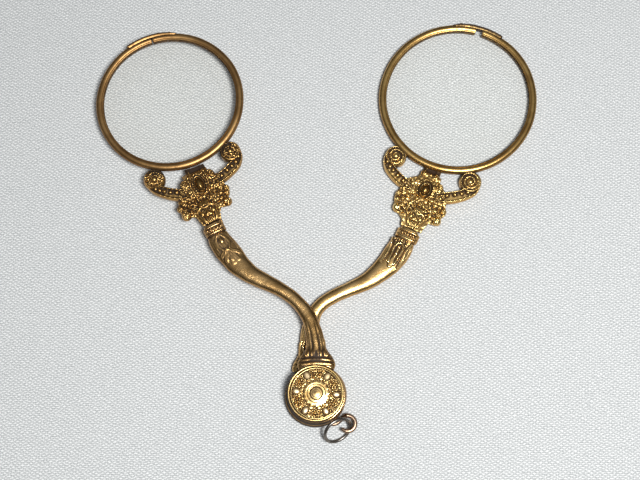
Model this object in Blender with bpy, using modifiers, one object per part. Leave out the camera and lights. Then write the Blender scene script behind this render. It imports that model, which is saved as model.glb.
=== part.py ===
"""Folding hand-held eyeglasses, scissors pattern.

Two lens leaves cross and turn on one pivot at a round hub.  The object lies flat:
+Z is up out of the hub's rosette, +Y runs from the pivot towards the lenses, and
the origin is on the pivot axis at the flat back face of the rear cap.
The left leaf is the front (upper) one and the right leaf the rear (lower) one.
Each leaf is drawn in its own frame: x to the right, y from the pivot to the lens
centre, z as in the assembly.  An empty on the pivot then turns the leaf open.
All sizes are in millimetres and are scaled by MM as the meshes are made.
"""
import math

import bmesh
import bpy
from mathutils import Matrix, Vector

MM = 0.001
SHARP_ANGLE = math.radians(35.0)
MERGE_DISTANCE = 0.0000005         # metres
CURVE_STEPS = 2                    # points per span of a smoothed path

# ------------------------------------------------------------------ leaves
HALF_ANGLE = math.radians(25.97)   # each leaf leans this far from the centre line
LEAF_ANGLE = {"left": HALF_ANGLE, "right": -HALF_ANGLE}
LEAF_Z = {"left": 5.05, "right": 1.85}   # mid planes
CUT_REACH = 3.0                    # how far leaf cutters run past the mid plane
SOLDER_GAP = 0.10

# ------------------------------------------------------------------ hub stack, from the rear up
STACK_GAP = 0.10                   # air between neighbouring plates
FIT_GAP = 0.08                     # clearance between fitted hub parts
CAP_R, CAP_TOP = 6.20, 0.90
BAIL_Z0 = CAP_TOP + STACK_GAP
BAIL_Z1 = BAIL_Z0 + 0.65
WASHER_Z0, WASHER_Z1, WASHER_R = 3.40, 3.60, 4.60
EYE_Z = {"right": (BAIL_Z1 + STACK_GAP, WASHER_Z0 - STACK_GAP),
         "left": (WASHER_Z1 + STACK_GAP, 5.30)}
EYE_R = {"left": 6.65, "right": 6.90}
EYE_OFFSET = {"left": (0.0, 0.0), "right": (-0.30, -0.10)}   # assembly x, y
SEAT_Z = EYE_Z["left"][1] + FIT_GAP   # underside of rivet head, bezel and roundel
PIVOT_R = 1.50
PIVOT_HOLE_R = 1.56
HUB_CUT_Z = (-1.0, 9.0)
BEZEL_R, BEZEL_IN, BEZEL_TOP = 5.96, 5.68, 7.05
ROUNDEL_R, ROUNDEL_TOP = BEZEL_IN - FIT_GAP, 6.35
RELIEF_R = {"left": BEZEL_R + FIT_GAP, "right": CAP_R + 0.25}   # shoulder cut round the hub

# ------------------------------------------------------------------ arms
ARM_HALF_Z = 1.35
ARM_START_Y, ARM_START_WIDTH = 10.6, 4.1   # the start is placed in the assembly frame

# arm stations: (y, centre x, width measured square to the arm)
ARM = {
    "left": [(11.0, 5.15, 4.10), (13.0, 5.68, 3.70), (16.0, 6.10, 3.35), (19.0, 5.70, 3.15),
             (22.0, 4.65, 3.10), (25.0, 2.90, 3.30), (28.0, 0.70, 3.75), (31.0, -1.35, 4.30),
             (34.0, -2.60, 5.15), (37.0, -3.25, 5.60), (40.0, -3.85, 5.35), (42.2, -3.95, 4.70)],
    "right": [(10.0, -6.50, 4.40), (12.5, -7.55, 4.00), (16.0, -8.35, 3.20), (19.0, -7.85, 3.05),
              (22.0, -6.02, 3.10), (25.0, -3.50, 3.30), (28.0, -0.95, 3.85), (31.0, 0.70, 4.60),
              (34.0, 1.90, 5.40), (37.0, 2.55, 5.85), (39.0, 2.80, 5.50), (40.0, 2.90, 4.95)],
}
# shoulder between hub and arm, in the assembly frame: (y, half width), and centre x for each
SHOULDER = [(5.3, 3.95), (6.4, 4.20), (7.3, 4.00), (8.3, 3.45), (9.2, 2.75), (10.2, 2.15),
            (12.0, 1.95)]
SHOULDER_X = {
    "left": [0.05] * 7,
    "right": [-1.40, -1.20, -1.10, -1.00, -1.30, -1.70, -1.80],
}
# neck at the end of the arm: centre x, y range and width, with the collar round it
NECK = {
    "left": dict(x=-3.95, y0=42.2, y1=45.0, width=4.05, collar_y=(42.55, 44.45), collar_width=5.0),
    "right": dict(x=3.05, y0=40.3, y1=43.1, width=4.35, collar_y=(40.60, 42.60), collar_width=5.4),
}
NECK_HALF_Z = 1.15
NECK_LAP = 0.6                     # how far the neck starts inside the arm
COLLAR_HALF_Z = 1.50
COLLAR_GAP = 0.07                  # between neck and collar
COLLAR_BEVEL_Y, COLLAR_BEVEL = 0.25, 0.12   # along and square to the neck
COLLAR_CUT = 1.0                   # how far the bore runs past the collar region
# tongue behind the mask: (x0, x1, top y), with z relative to the mid plane
TONGUE = {"left": (-5.3, -1.4, 58.6), "right": (0.7, 4.6, 57.6)}
TONGUE_Z = (-NECK_HALF_Z, -0.45)
TONGUE_LAP = 0.4
SLOT_Y = (38.0, 61.0)              # runs past the mask and bracket at both ends

# ------------------------------------------------------------------ masks
# outline: (x, y); face: (x, y, half width, half height); balls: (x, y, radius)
MASK = {
    "left": dict(
        outline=[(-5.9, 45.3), (-1.3, 45.3), (-0.9, 46.8), (-0.3, 47.6), (0.8, 47.3),
                 (1.7, 47.1), (2.6, 48.0), (2.4, 49.2), (3.2, 50.4), (3.4, 51.6),
                 (2.7, 52.5), (-8.8, 52.5), (-9.6, 51.8), (-9.2, 50.6), (-9.5, 49.6),
                 (-9.2, 48.6), (-8.3, 48.1), (-7.2, 48.4), (-6.5, 48.0), (-6.2, 46.6)],
        face=(-3.5, 48.7, 2.5, 3.5),
        balls=[(-8.3, 49.3, 1.05), (1.6, 48.3, 0.95)]),
    "right": dict(
        outline=[(0.5, 43.4), (5.6, 43.4), (5.9, 45.0), (6.3, 46.2), (7.6, 46.4),
                 (8.7, 47.3), (8.5, 48.6), (9.0, 49.7), (8.8, 50.7), (8.3, 51.4),
                 (-3.0, 51.4), (-3.7, 50.4), (-3.6, 49.0), (-3.1, 47.9), (-3.0, 46.6),
                 (-2.2, 45.6), (-1.0, 45.6), (0.1, 44.8)],
        face=(3.0, 47.3, 2.6, 3.6),
        balls=[(7.8, 47.6, 0.95), (-2.0, 46.9, 0.85)]),
}
MASK_Z = (-0.35, 0.45)             # relative to the mid plane, as are the next two
FACE_Z, FACE_RISE = 0.15, 1.15     # centre and half depth of the face dome
BALL_Z = 0.12

# ------------------------------------------------------------------ scroll brackets
# head: outline (x, y); volutes: (x, y, radius); arms: stations (x, y, half width);
# cabochon: (x, y, half width, half height)
BRACKET = {
    "left": dict(
        head=[(-8.0, 52.75), (2.9, 52.75), (2.6, 54.2), (1.7, 56.1), (0.7, 57.4), (0.5, 60.5),
              (-4.2, 60.5), (-4.3, 57.7), (-5.6, 57.1), (-6.8, 56.0), (-7.9, 54.4)],
        volutes=[(-11.2, 60.5, 2.55), (7.2, 58.8, 2.40)],
        arms=[[(-12.6, 60.0, 0.75), (-12.0, 58.7, 1.05), (-10.9, 57.3, 1.30),
               (-9.1, 55.7, 1.35), (-7.2, 54.5, 1.35), (-5.4, 53.9, 1.20)],
              [(8.7, 58.3, 0.75), (8.3, 56.9, 1.05), (7.0, 55.6, 1.25),
               (5.2, 54.8, 1.30), (3.2, 54.2, 1.30), (1.2, 53.9, 1.15)]],
        cabochon=(-2.5, 55.2, 0.90, 1.55)),
    "right": dict(
        head=[(-3.2, 51.65), (8.3, 51.65), (7.9, 53.2), (6.6, 54.8), (5.0, 55.9), (4.1, 57.6),
              (4.0, 59.5), (-0.2, 59.5), (-0.1, 57.0), (-0.7, 55.5), (-2.2, 54.6), (-3.4, 53.4)],
        volutes=[(10.9, 59.3, 2.58), (-7.2, 57.85, 2.47)],
        arms=[[(12.5, 58.9, 0.75), (12.2, 57.6, 1.05), (11.0, 56.2, 1.30),
               (9.2, 54.7, 1.35), (7.4, 53.6, 1.35), (5.8, 52.9, 1.20)],
              [(-8.8, 57.4, 0.75), (-8.5, 56.2, 1.05), (-7.3, 54.8, 1.25),
               (-5.4, 53.7, 1.30), (-3.6, 53.0, 1.30), (-1.8, 52.6, 1.15)]],
        cabochon=(2.2, 53.45, 1.00, 1.35)),
}
SCROLL_HALF_Z = 1.20
VOLUTE_HALF_Z = SCROLL_HALF_Z + 0.03
HEAD_Z = (-0.35, 1.10)             # relative to the mid plane
POCKET_Z, POCKET_DEPTH, POCKET_GAP = 0.55, 3.0, 0.10
CABOCHON_Z, CABOCHON_RISE = 0.62, 0.95

# ------------------------------------------------------------------ rims and lenses
LENS_REACH = {"left": 76.40, "right": 76.98}   # pivot to lens centre
RIM_OUTER = {"left": 17.15, "right": 18.52}
RIM_WIDTH = 1.80                   # radial size of the rim section
RIM_HALF_Z = 0.92
RIM_SHOULDER = [(1.25, 1.0), (0.55, 0.93), (0.12, 0.55)]   # (inset, share of half height)
RIM_INNER_SHARE = 0.80             # height of the inner edge as a share of the half height
GROOVE_DEPTH = 0.60
GROOVE_HALF, GROOVE_FLOOR_HALF = 0.52, 0.30
RIM_SPLIT = {"left": (80.0, 80.9), "right": (94.4, 99.7)}   # degrees from the leaf's +x
SPLIT_CUT_R, SPLIT_CUT_Z = 3.0, 2.0   # how far the split cutter passes the rim

LAP_SPAN = {"left": (59.8, 101.3), "right": (79.5, 116.9)}   # degrees
LAP_STEPS = 14
LAP_GAP, LAP_THICK = 0.07, 0.42
LAP_END_SHARE = 0.45               # thickness left at each end
# lap section: (share of thickness, z from the mid plane)
LAP_SECTION = [(0.0, -0.72), (0.75, -0.72), (1.0, -0.40), (1.0, 0.40), (0.75, 0.72), (0.0, 0.72)]
PIN_DEGREES = {"left": LAP_SPAN["left"][0] + 6.0, "right": LAP_SPAN["right"][1] - 6.0}
PIN_R, PIN_DEPTH, PIN_PROUD = 0.29, 0.68, 0.10
PIN_BORE_R, PIN_BORE_DEPTH, PIN_BORE_PROUD = 0.36, 0.75, 2.0

LENS_OVERLAP = 0.45                # how far the lens reaches into the groove
LENS_EDGE_HALF = 0.40
LENS_CROWN = 0.28                  # bulge of each lens face
LENS_BEVEL = 0.5                   # radial size of the bevelled edge
LENS_TIP_HALF = 0.20
LENS_SPANS = 4                     # spans of the face profile, centre to bevel

# ------------------------------------------------------------------ clean start
for old_object in list(bpy.data.objects):
    bpy.data.objects.remove(old_object, do_unlink=True)
for old_collection in list(bpy.data.collections):
    bpy.data.collections.remove(old_collection)

PARTS = bpy.data.collections.new("scissors_glasses")
CUTTERS = bpy.data.collections.new("cutters")
bpy.context.scene.collection.children.link(PARTS)
bpy.context.scene.collection.children.link(CUTTERS)


# ------------------------------------------------------------------ materials
def make_material(name, colour, roughness, metallic, alpha=1.0):
    material = bpy.data.materials.new(name)
    material.use_nodes = True
    shader = material.node_tree.nodes["Principled BSDF"]
    shader.inputs["Base Color"].default_value = (*colour, 1.0)
    shader.inputs["Roughness"].default_value = roughness
    shader.inputs["Metallic"].default_value = metallic
    shader.inputs["Alpha"].default_value = alpha
    material.diffuse_color = (*colour, alpha)
    return material


GILT_MAT = {
    "left": make_material("gilt_front", colour=(0.60, 0.42, 0.15), roughness=0.36, metallic=1.0),
    "right": make_material("gilt_rear", colour=(0.66, 0.47, 0.18), roughness=0.32, metallic=1.0),
}
RIM_MAT = {
    "left": make_material("rim_front", colour=(0.42, 0.27, 0.12), roughness=0.42, metallic=1.0),
    "right": make_material("rim_rear", colour=(0.50, 0.34, 0.14), roughness=0.36, metallic=1.0),
}
LENS_MAT = make_material("lens_glass", colour=(0.93, 0.95, 0.93), roughness=0.04, metallic=0.0,
                         alpha=0.25)
HUB_MAT = make_material("gilt_hub", colour=(0.70, 0.50, 0.20), roughness=0.30, metallic=1.0)
STEEL_MAT = make_material("dark_steel", colour=(0.20, 0.19, 0.18), roughness=0.38, metallic=1.0)


# ------------------------------------------------------------------ objects and modifiers
def link(name, data, collection=PARTS):
    item = bpy.data.objects.new(name, data)
    collection.objects.link(item)
    return item


def finish(solid, name, collection):
    """Write a bmesh out as a new object."""
    bmesh.ops.recalc_face_normals(solid, faces=solid.faces)
    mesh = bpy.data.meshes.new(name)
    solid.to_mesh(mesh)
    solid.free()
    return link(name, mesh, collection)


def weld(mesh):
    solid = bmesh.new()
    solid.from_mesh(mesh)
    bmesh.ops.remove_doubles(solid, verts=solid.verts, dist=MERGE_DISTANCE)
    bmesh.ops.recalc_face_normals(solid, faces=solid.faces)
    solid.to_mesh(mesh)
    solid.free()


def boolean(target, tool, operation):
    """Combine target with tool; the tool becomes a hidden helper."""
    tool.hide_render = True
    tool.display_type = "WIRE"
    modifier = target.modifiers.new(operation.lower(), "BOOLEAN")
    modifier.operation = operation
    modifier.solver = "EXACT"
    modifier.object = tool


def evaluated_mesh(item):
    bpy.context.view_layer.update()
    graph = bpy.context.evaluated_depsgraph_get()
    return bpy.data.meshes.new_from_object(item.evaluated_get(graph))


def bake(item):
    """Turn the object's modifiers into its mesh."""
    mesh = evaluated_mesh(item)
    item.modifiers.clear()
    item.data = mesh


def empty(name, location=(0.0, 0.0, 0.0), angle=0.0):
    item = link(name, None)
    item.location = Vector(location) * MM
    item.rotation_euler = (0.0, 0.0, angle)
    return item


def dress(item, material, parent=None):
    item.data.materials.clear()
    item.data.materials.append(material)
    item.data.shade_smooth()
    item.data.set_sharp_from_angle(angle=SHARP_ANGLE)
    item.parent = parent


# ------------------------------------------------------------------ plane geometry
def polar(centre_x, centre_y, radius, degrees):
    angle = math.radians(degrees)
    return (centre_x + radius * math.cos(angle), centre_y + radius * math.sin(angle))


def to_leaf(side, x, y):
    """Assembly x, y in the open position, to the leaf's own x, y."""
    angle = LEAF_ANGLE[side]
    return (x * math.cos(angle) + y * math.sin(angle), -x * math.sin(angle) + y * math.cos(angle))


def spline_value(t, before, start, end, after):
    return 0.5 * (2 * start + (end - before) * t
                  + (2 * before - 5 * start + 4 * end - after) * t * t
                  + (3 * start - before - 3 * end + after) * t ** 3)


def smooth(points):
    """A Catmull-Rom curve through tuples of any length."""
    padded = [points[0], *points, points[-1]]
    curve = []
    for span in zip(padded, padded[1:], padded[2:], padded[3:]):
        for k in range(CURVE_STEPS):
            curve.append(tuple(spline_value(k / CURVE_STEPS, *values) for values in zip(*span)))
    curve.append(tuple(points[-1]))
    return curve


# ------------------------------------------------------------------ solids
def oval(centre, side, half_width, half_z, z, count=20, power=2.4):
    """An upright superellipse: wide along side (a unit vector in plane), tall along z."""
    loop = []
    for i in range(count):
        angle = 2.0 * math.pi * i / count
        cosine, sine = math.cos(angle), math.sin(angle)
        across = half_width * math.copysign(abs(cosine) ** (2.0 / power), cosine)
        up = half_z * math.copysign(abs(sine) ** (2.0 / power), sine)
        loop.append(Vector((centre[0] + side[0] * across, centre[1] + side[1] * across,
                            z + up)) * MM)
    return loop


def loft(name, sections, collection):
    """Skin closed loops that have the same number of points, with flat ends."""
    solid = bmesh.new()
    rings = [[solid.verts.new(point) for point in loop] for loop in sections]
    count = len(rings[0])
    for ring, following in zip(rings, rings[1:]):
        for i in range(count):
            j = (i + 1) % count
            solid.faces.new((ring[i], ring[j], following[j], following[i]))
    solid.faces.new(rings[0])
    solid.faces.new(rings[-1][::-1])
    return finish(solid, name, collection)


def sweep(name, path, half_z, z, collection, count, power=2.4):
    """Loft ovals square to a plane path of (x, y, width)."""
    sections = []
    for i, station in enumerate(path):
        before = path[max(i - 1, 0)]
        after = path[min(i + 1, len(path) - 1)]
        heading = Vector((after[0] - before[0], after[1] - before[1])).normalized()
        sections.append(oval(station, (heading.y, -heading.x), station[2] / 2.0, half_z, z,
                             count, power))
    return loft(name, sections, collection)


def cylinder(name, x, y, radius, z0, z1, collection=CUTTERS, segments=48):
    solid = bmesh.new()
    bmesh.ops.create_cone(solid, cap_ends=True, segments=segments, radius1=radius * MM,
                          radius2=radius * MM, depth=(z1 - z0) * MM)
    bmesh.ops.translate(solid, verts=solid.verts, vec=Vector((x, y, (z0 + z1) / 2.0)) * MM)
    return finish(solid, name, collection)


def block(name, x0, x1, y0, y1, z0, z1):
    solid = bmesh.new()
    bmesh.ops.create_cube(solid, size=1.0)
    bmesh.ops.scale(solid, verts=solid.verts, vec=Vector((x1 - x0, y1 - y0, z1 - z0)) * MM)
    bmesh.ops.translate(solid, verts=solid.verts,
                        vec=Vector((x0 + x1, y0 + y1, z0 + z1)) * MM * 0.5)
    return finish(solid, name, CUTTERS)


def dome(name, centre, radii, collection=CUTTERS, segments=16, rings=8, upper_half=False):
    """An ellipsoid, or its upper half closed flat underneath."""
    solid = bmesh.new()
    bmesh.ops.create_uvsphere(solid, u_segments=segments, v_segments=rings, radius=1.0)
    if upper_half:
        bmesh.ops.bisect_plane(solid, geom=solid.verts[:] + solid.edges[:] + solid.faces[:],
                               dist=0.0001, plane_co=(0, 0, 0), plane_no=(0, 0, -1),
                               clear_outer=True)
        bmesh.ops.edgeloop_fill(solid, edges=[edge for edge in solid.edges if edge.is_boundary])
    bmesh.ops.scale(solid, verts=solid.verts, vec=Vector(radii) * MM)
    bmesh.ops.translate(solid, verts=solid.verts, vec=Vector(centre) * MM)
    return finish(solid, name, collection)


def add_spline(curve, points, cyclic):
    spline = curve.splines.new("POLY")
    spline.points.add(len(points) - 1)
    for knot, (x, y, z) in zip(spline.points, points):
        knot.co = (x * MM, y * MM, z * MM, 1.0)
    spline.use_cyclic_u = cyclic
    return spline


def curve_to_mesh(name, curve, collection, z=0.0):
    source = link(name + "_curve", curve, CUTTERS)
    source.location.z = z
    mesh = evaluated_mesh(source)
    mesh.transform(source.matrix_world)
    bpy.data.objects.remove(source, do_unlink=True)
    weld(mesh)
    mesh.name = name
    return link(name, mesh, collection)


def plate(name, outline, z0, z1, collection=CUTTERS):
    """A flat outline with thickness, made from a filled plane curve."""
    curve = bpy.data.curves.new(name, "CURVE")
    curve.dimensions = "2D"
    curve.fill_mode = "BOTH"
    curve.extrude = (z1 - z0) / 2.0 * MM
    add_spline(curve, [(x, y, 0.0) for x, y in outline], cyclic=True)
    return curve_to_mesh(name, curve, collection, (z0 + z1) / 2.0 * MM)


def wire(name, points, radius, collection, cyclic=False):
    """A round wire through (x, y, z) points; a fourth value sets the radius there."""
    curve = bpy.data.curves.new(name, "CURVE")
    curve.dimensions = "3D"
    curve.bevel_depth = radius * MM
    curve.bevel_resolution = 2
    curve.use_fill_caps = not cyclic
    spline = add_spline(curve, [point[:3] for point in points], cyclic)
    for knot, point in zip(spline.points, points):
        knot.radius = point[3] / radius if len(point) > 3 else 1.0
    return curve_to_mesh(name, curve, collection)


def turned(name, profile, steps=48, centre_y=0.0):
    """A solid turned about a vertical axis from a profile of (radius, z).

    A profile that starts off the axis is closed into a ring section.
    """
    mesh = bpy.data.meshes.new(name)
    last = len(profile) - 1
    edges = [(i, i + 1) for i in range(last)]
    if profile[0][0] > 0.0:
        edges.append((last, 0))
    mesh.from_pydata([(radius * MM, 0.0, z * MM) for radius, z in profile], edges, [])
    item = link(name, mesh)
    screw = item.modifiers.new("turn", "SCREW")
    screw.angle = 2.0 * math.pi
    screw.steps = steps
    screw.use_merge_vertices = True
    screw.merge_threshold = MERGE_DISTANCE
    bake(item)
    item.data.transform(Matrix.Translation(Vector((0.0, centre_y, 0.0)) * MM))
    weld(item.data)
    return item


# ------------------------------------------------------------------ parts of a leaf
LEAF_AXIS = {"left": empty("front_leaf_pivot", angle=HALF_ANGLE),
             "right": empty("rear_leaf_pivot", angle=-HALF_ANGLE)}


def make_shoulder(side):
    """The stem out of the hub, cut back round the bezel (front) or rear cap (rear)."""
    angle = LEAF_ANGLE[side]
    across = (math.cos(angle), -math.sin(angle))   # assembly x in the leaf's frame
    z = LEAF_Z[side]
    shoulder = loft(side + "_shoulder",
                    [oval(to_leaf(side, x, y), across, half_width, ARM_HALF_Z, z, 16, 2.8)
                     for (y, half_width), x in zip(SHOULDER, SHOULDER_X[side])], CUTTERS)
    if side == "left":
        relief_z = (EYE_Z[side][1], z + CUT_REACH)
    else:
        relief_z = (HUB_CUT_Z[0], EYE_Z[side][0])
    boolean(shoulder, cylinder(side + "_relief", 0, 0, RELIEF_R[side], *relief_z), "DIFFERENCE")
    bake(shoulder)
    return shoulder


def make_arm(side):
    """Arm with its neck, tongue, shoulder and hub eye, bored for the pivot."""
    z = LEAF_Z[side]
    start = to_leaf(side, SHOULDER_X[side][-1], ARM_START_Y)
    path = smooth([(*start, ARM_START_WIDTH)] + [(x, y, width) for y, x, width in ARM[side]])
    arm = sweep(side + "_arm", path, ARM_HALF_Z, z, PARTS, count=16)

    neck = NECK[side]
    shank = loft(side + "_neck",
                 [oval((neck["x"], y), (1.0, 0.0), neck["width"] / 2.0, NECK_HALF_Z, z)
                  for y in (neck["y0"] - NECK_LAP, neck["y1"])], CUTTERS)
    x0, x1, top = TONGUE[side]
    tongue = block(side + "_tongue", x0, x1, neck["y1"] - TONGUE_LAP, top,
                   z + TONGUE_Z[0], z + TONGUE_Z[1])
    shoulder = make_shoulder(side)
    eye = cylinder(side + "_eye", *to_leaf(side, *EYE_OFFSET[side]), EYE_R[side], *EYE_Z[side])
    for tool in (shank, tongue, shoulder, eye):
        boolean(arm, tool, "UNION")
    hole = cylinder(side + "_pivot_hole", 0, 0, PIVOT_HOLE_R, *HUB_CUT_Z)
    boolean(arm, hole, "DIFFERENCE")
    dress(arm, GILT_MAT[side], LEAF_AXIS[side])


def make_collar(side):
    """Band round the neck, bevelled at both ends."""
    z = LEAF_Z[side]
    neck = NECK[side]
    y0, y1 = neck["collar_y"]
    stations = [(y0, COLLAR_BEVEL), (y0 + COLLAR_BEVEL_Y, 0.0),
                (y1 - COLLAR_BEVEL_Y, 0.0), (y1, COLLAR_BEVEL)]   # (y, inset)
    band = loft(side + "_collar",
                [oval((neck["x"], y), (1, 0), neck["collar_width"] / 2 - inset,
                      COLLAR_HALF_Z - inset, z) for y, inset in stations], PARTS)
    bore = loft(side + "_collar_bore",
                [oval((neck["x"], y), (1, 0), neck["width"] / 2 + COLLAR_GAP,
                      NECK_HALF_Z + COLLAR_GAP, z)
                 for y in (y0 - COLLAR_CUT, y1 + COLLAR_CUT)], CUTTERS)
    boolean(band, bore, "DIFFERENCE")
    dress(band, GILT_MAT[side], LEAF_AXIS[side])


def cut_tongue_slot(part, side, name):
    x0, x1, _ = TONGUE[side]
    z = LEAF_Z[side]
    slot = block(name, x0 - SOLDER_GAP, x1 + SOLDER_GAP, *SLOT_Y,
                 z - CUT_REACH, z + TONGUE_Z[1] + SOLDER_GAP)
    boolean(part, slot, "DIFFERENCE")


def make_mask(side):
    """Lobed plate with a domed face and two balls."""
    z = LEAF_Z[side]
    data = MASK[side]
    mask = plate(side + "_mask", data["outline"], z + MASK_Z[0], z + MASK_Z[1], PARTS)
    x, y, half_width, half_height = data["face"]
    face = dome(side + "_face", (x, y, z + FACE_Z), (half_width, half_height, FACE_RISE))
    boolean(mask, face, "UNION")
    for k, (x, y, radius) in enumerate(data["balls"]):
        ball = dome("%s_ball_%d" % (side, k), (x, y, z + BALL_Z), (radius, radius, radius))
        boolean(mask, ball, "UNION")
    cut_tongue_slot(mask, side, side + "_mask_slot")
    dress(mask, GILT_MAT[side], LEAF_AXIS[side])


def make_bracket(side):
    """Scroll bracket below the rim: head plate, two scrolls, two volutes, and a cabochon."""
    z = LEAF_Z[side]
    data = BRACKET[side]
    bracket = plate(side + "_scroll_bracket", data["head"], z + HEAD_Z[0], z + HEAD_Z[1], PARTS)
    for k, stations in enumerate(data["arms"]):
        path = [(x, y, 2 * half_width) for x, y, half_width in smooth(stations)]
        scroll = sweep("%s_scroll_%d" % (side, k), path, SCROLL_HALF_Z, z, CUTTERS,
                       count=12, power=3.0)
        boolean(bracket, scroll, "UNION")
    for k, (x, y, radius) in enumerate(data["volutes"]):
        volute = cylinder("%s_volute_%d" % (side, k), x, y, radius,
                          z - VOLUTE_HALF_Z, z + VOLUTE_HALF_Z, segments=28)
        boolean(bracket, volute, "UNION")
    cut_tongue_slot(bracket, side, side + "_bracket_slot")
    clearance = cylinder(side + "_rim_clearance", 0.0, LENS_REACH[side],
                         RIM_OUTER[side] + SOLDER_GAP, z - CUT_REACH, z + CUT_REACH, segments=96)
    boolean(bracket, clearance, "DIFFERENCE")

    x, y, half_width, half_height = data["cabochon"]
    pocket = cylinder(side + "_pocket", 0, 0, 1.0, 0.0, POCKET_DEPTH, segments=16)
    stretch = Matrix.Diagonal((half_width + POCKET_GAP, half_height + POCKET_GAP, 1.0, 1.0))
    pocket.data.transform(Matrix.Translation(Vector((x, y, z + POCKET_Z)) * MM) @ stretch)
    boolean(bracket, pocket, "DIFFERENCE")
    dress(bracket, GILT_MAT[side], LEAF_AXIS[side])
    cabochon = dome(side + "_cabochon", (x, y, z + CABOCHON_Z),
                    (half_width, half_height, CABOCHON_RISE), PARTS, upper_half=True)
    dress(cabochon, GILT_MAT[side], LEAF_AXIS[side])


def radial_pin(name, side, radius, start, end, collection):
    """A cylinder along the lens radius at the pin's angle."""
    solid = bmesh.new()
    bmesh.ops.create_cone(solid, cap_ends=True, segments=16, radius1=radius * MM,
                          radius2=radius * MM, depth=(end - start) * MM)
    lay_down = Matrix.Rotation(math.pi / 2, 3, "Y")
    bmesh.ops.rotate(solid, verts=solid.verts, cent=(0, 0, 0), matrix=lay_down)
    bmesh.ops.translate(solid, verts=solid.verts, vec=Vector(((start + end) / 2.0, 0, 0)) * MM)
    turn = Matrix.Rotation(math.radians(PIN_DEGREES[side]), 3, "Z")
    bmesh.ops.rotate(solid, verts=solid.verts, cent=(0, 0, 0), matrix=turn)
    bmesh.ops.translate(solid, verts=solid.verts,
                        vec=Vector((0, LENS_REACH[side], LEAF_Z[side])) * MM)
    return finish(solid, name, collection)


def make_split_rim(side):
    """Grooved ring, cut through at the split."""
    z = LEAF_Z[side]
    reach = LENS_REACH[side]
    outer = RIM_OUTER[side]
    inner = outer - RIM_WIDTH
    shoulder = [(outer - inset, share * RIM_HALF_Z) for inset, share in RIM_SHOULDER]
    groove = [(inner, RIM_INNER_SHARE * RIM_HALF_Z), (inner, GROOVE_HALF),
              (inner + GROOVE_DEPTH, GROOVE_FLOOR_HALF)]
    profile = ([(radius, z + up) for radius, up in shoulder] + [(outer, z)]
               + [(radius, z - down) for radius, down in reversed(shoulder)]
               + [(radius, z - down) for radius, down in groove]
               + [(radius, z + up) for radius, up in reversed(groove)])
    rim = turned(side + "_rim", profile, centre_y=reach)
    start, end = RIM_SPLIT[side]
    near, far = outer - SPLIT_CUT_R, outer + SPLIT_CUT_R
    corners = [polar(0, reach, radius, degrees)
               for radius, degrees in ((near, start), (far, start), (far, end), (near, end))]
    wedge = plate(side + "_rim_split", corners, z - SPLIT_CUT_Z, z + SPLIT_CUT_Z)
    boolean(rim, wedge, "DIFFERENCE")
    return rim


def make_lap_plate(side):
    """Curved plate outside the rim, across the split, thinned at its ends."""
    inner = RIM_OUTER[side] + LAP_GAP
    start, end = LAP_SPAN[side]
    sections = []
    for i in range(LAP_STEPS + 1):
        degrees = start + (end - start) * i / LAP_STEPS
        fall = LAP_END_SHARE if i in (0, LAP_STEPS) else 1.0
        loop = []
        for share, up in LAP_SECTION:
            x, y = polar(0.0, LENS_REACH[side], inner + LAP_THICK * share * fall, degrees)
            loop.append(Vector((x, y, LEAF_Z[side] + up)) * MM)
        sections.append(loop)
    return loft(side + "_lap_plate", sections, PARTS)


def make_rim(side):
    """Rim and lap plate, bored for one radial pin."""
    outer = RIM_OUTER[side]
    rim = make_split_rim(side)
    lap = make_lap_plate(side)
    bore = radial_pin(side + "_pin_bore", side, PIN_BORE_R, outer - PIN_BORE_DEPTH,
                      outer + PIN_BORE_PROUD, CUTTERS)
    boolean(rim, bore, "DIFFERENCE")
    boolean(lap, bore, "DIFFERENCE")
    pin = radial_pin(side + "_lap_pin", side, PIN_R, outer - PIN_DEPTH,
                     outer + LAP_GAP + LAP_THICK + PIN_PROUD, PARTS)
    for part in (rim, lap, pin):
        dress(part, RIM_MAT[side], LEAF_AXIS[side])


def make_lens(side):
    """Lens with two bulged faces and a bevelled edge."""
    z = LEAF_Z[side]
    radius = RIM_OUTER[side] - RIM_WIDTH + LENS_OVERLAP
    face_radius = radius - LENS_BEVEL
    face = []
    for k in range(LENS_SPANS + 1):
        x = k / LENS_SPANS * face_radius
        face.append((x, z + LENS_EDGE_HALF + LENS_CROWN * (1.0 - (x / face_radius) ** 2)))
    profile = (face + [(radius, z + LENS_TIP_HALF), (radius, z - LENS_TIP_HALF)]
               + [(x, 2 * z - height) for x, height in reversed(face)])
    lens = turned(side + "_lens", profile, steps=40, centre_y=LENS_REACH[side])
    dress(lens, LENS_MAT, LEAF_AXIS[side])


for leaf in ("left", "right"):
    make_arm(leaf)
    make_collar(leaf)
    make_mask(leaf)
    make_bracket(leaf)
    make_rim(leaf)
    make_lens(leaf)
    for helper in CUTTERS.objects:         # the cutters are drawn in the leaf's frame too
        if helper.name.startswith(leaf + "_"):
            helper.parent = LEAF_AXIS[leaf]

# ------------------------------------------------------------------ turned hub parts
RIVET_Z0, RIVET_TOP = 0.50, 5.88
RIVET_HEAD_R = 2.20
CAP_BORE_R, CAP_FLOOR = PIVOT_R + FIT_GAP, RIVET_Z0 - FIT_GAP
WASHER_HOLE_R = PIVOT_HOLE_R + 0.02
ROUNDEL_BORE_R, ROUNDEL_BORE_TOP = RIVET_HEAD_R + 0.15, RIVET_TOP + 0.10
# raised centre of the roundel: (radius, z)
ROSETTE = [(0.0, 7.20), (0.75, 7.08), (1.25, 6.75), (1.50, 6.45), (1.95, 6.45), (2.10, 6.75),
           (2.40, 6.75), (2.60, 6.40)]
PEARL_DEGREES = (-4.0, 56.0, 117.0, 173.0, 237.0, 298.0)
PEARL_CIRCLE_R = 4.32
PEARL_Z = ROUNDEL_TOP + 0.05
PEARL_RADII = (0.60, 0.60, 0.62)


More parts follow.
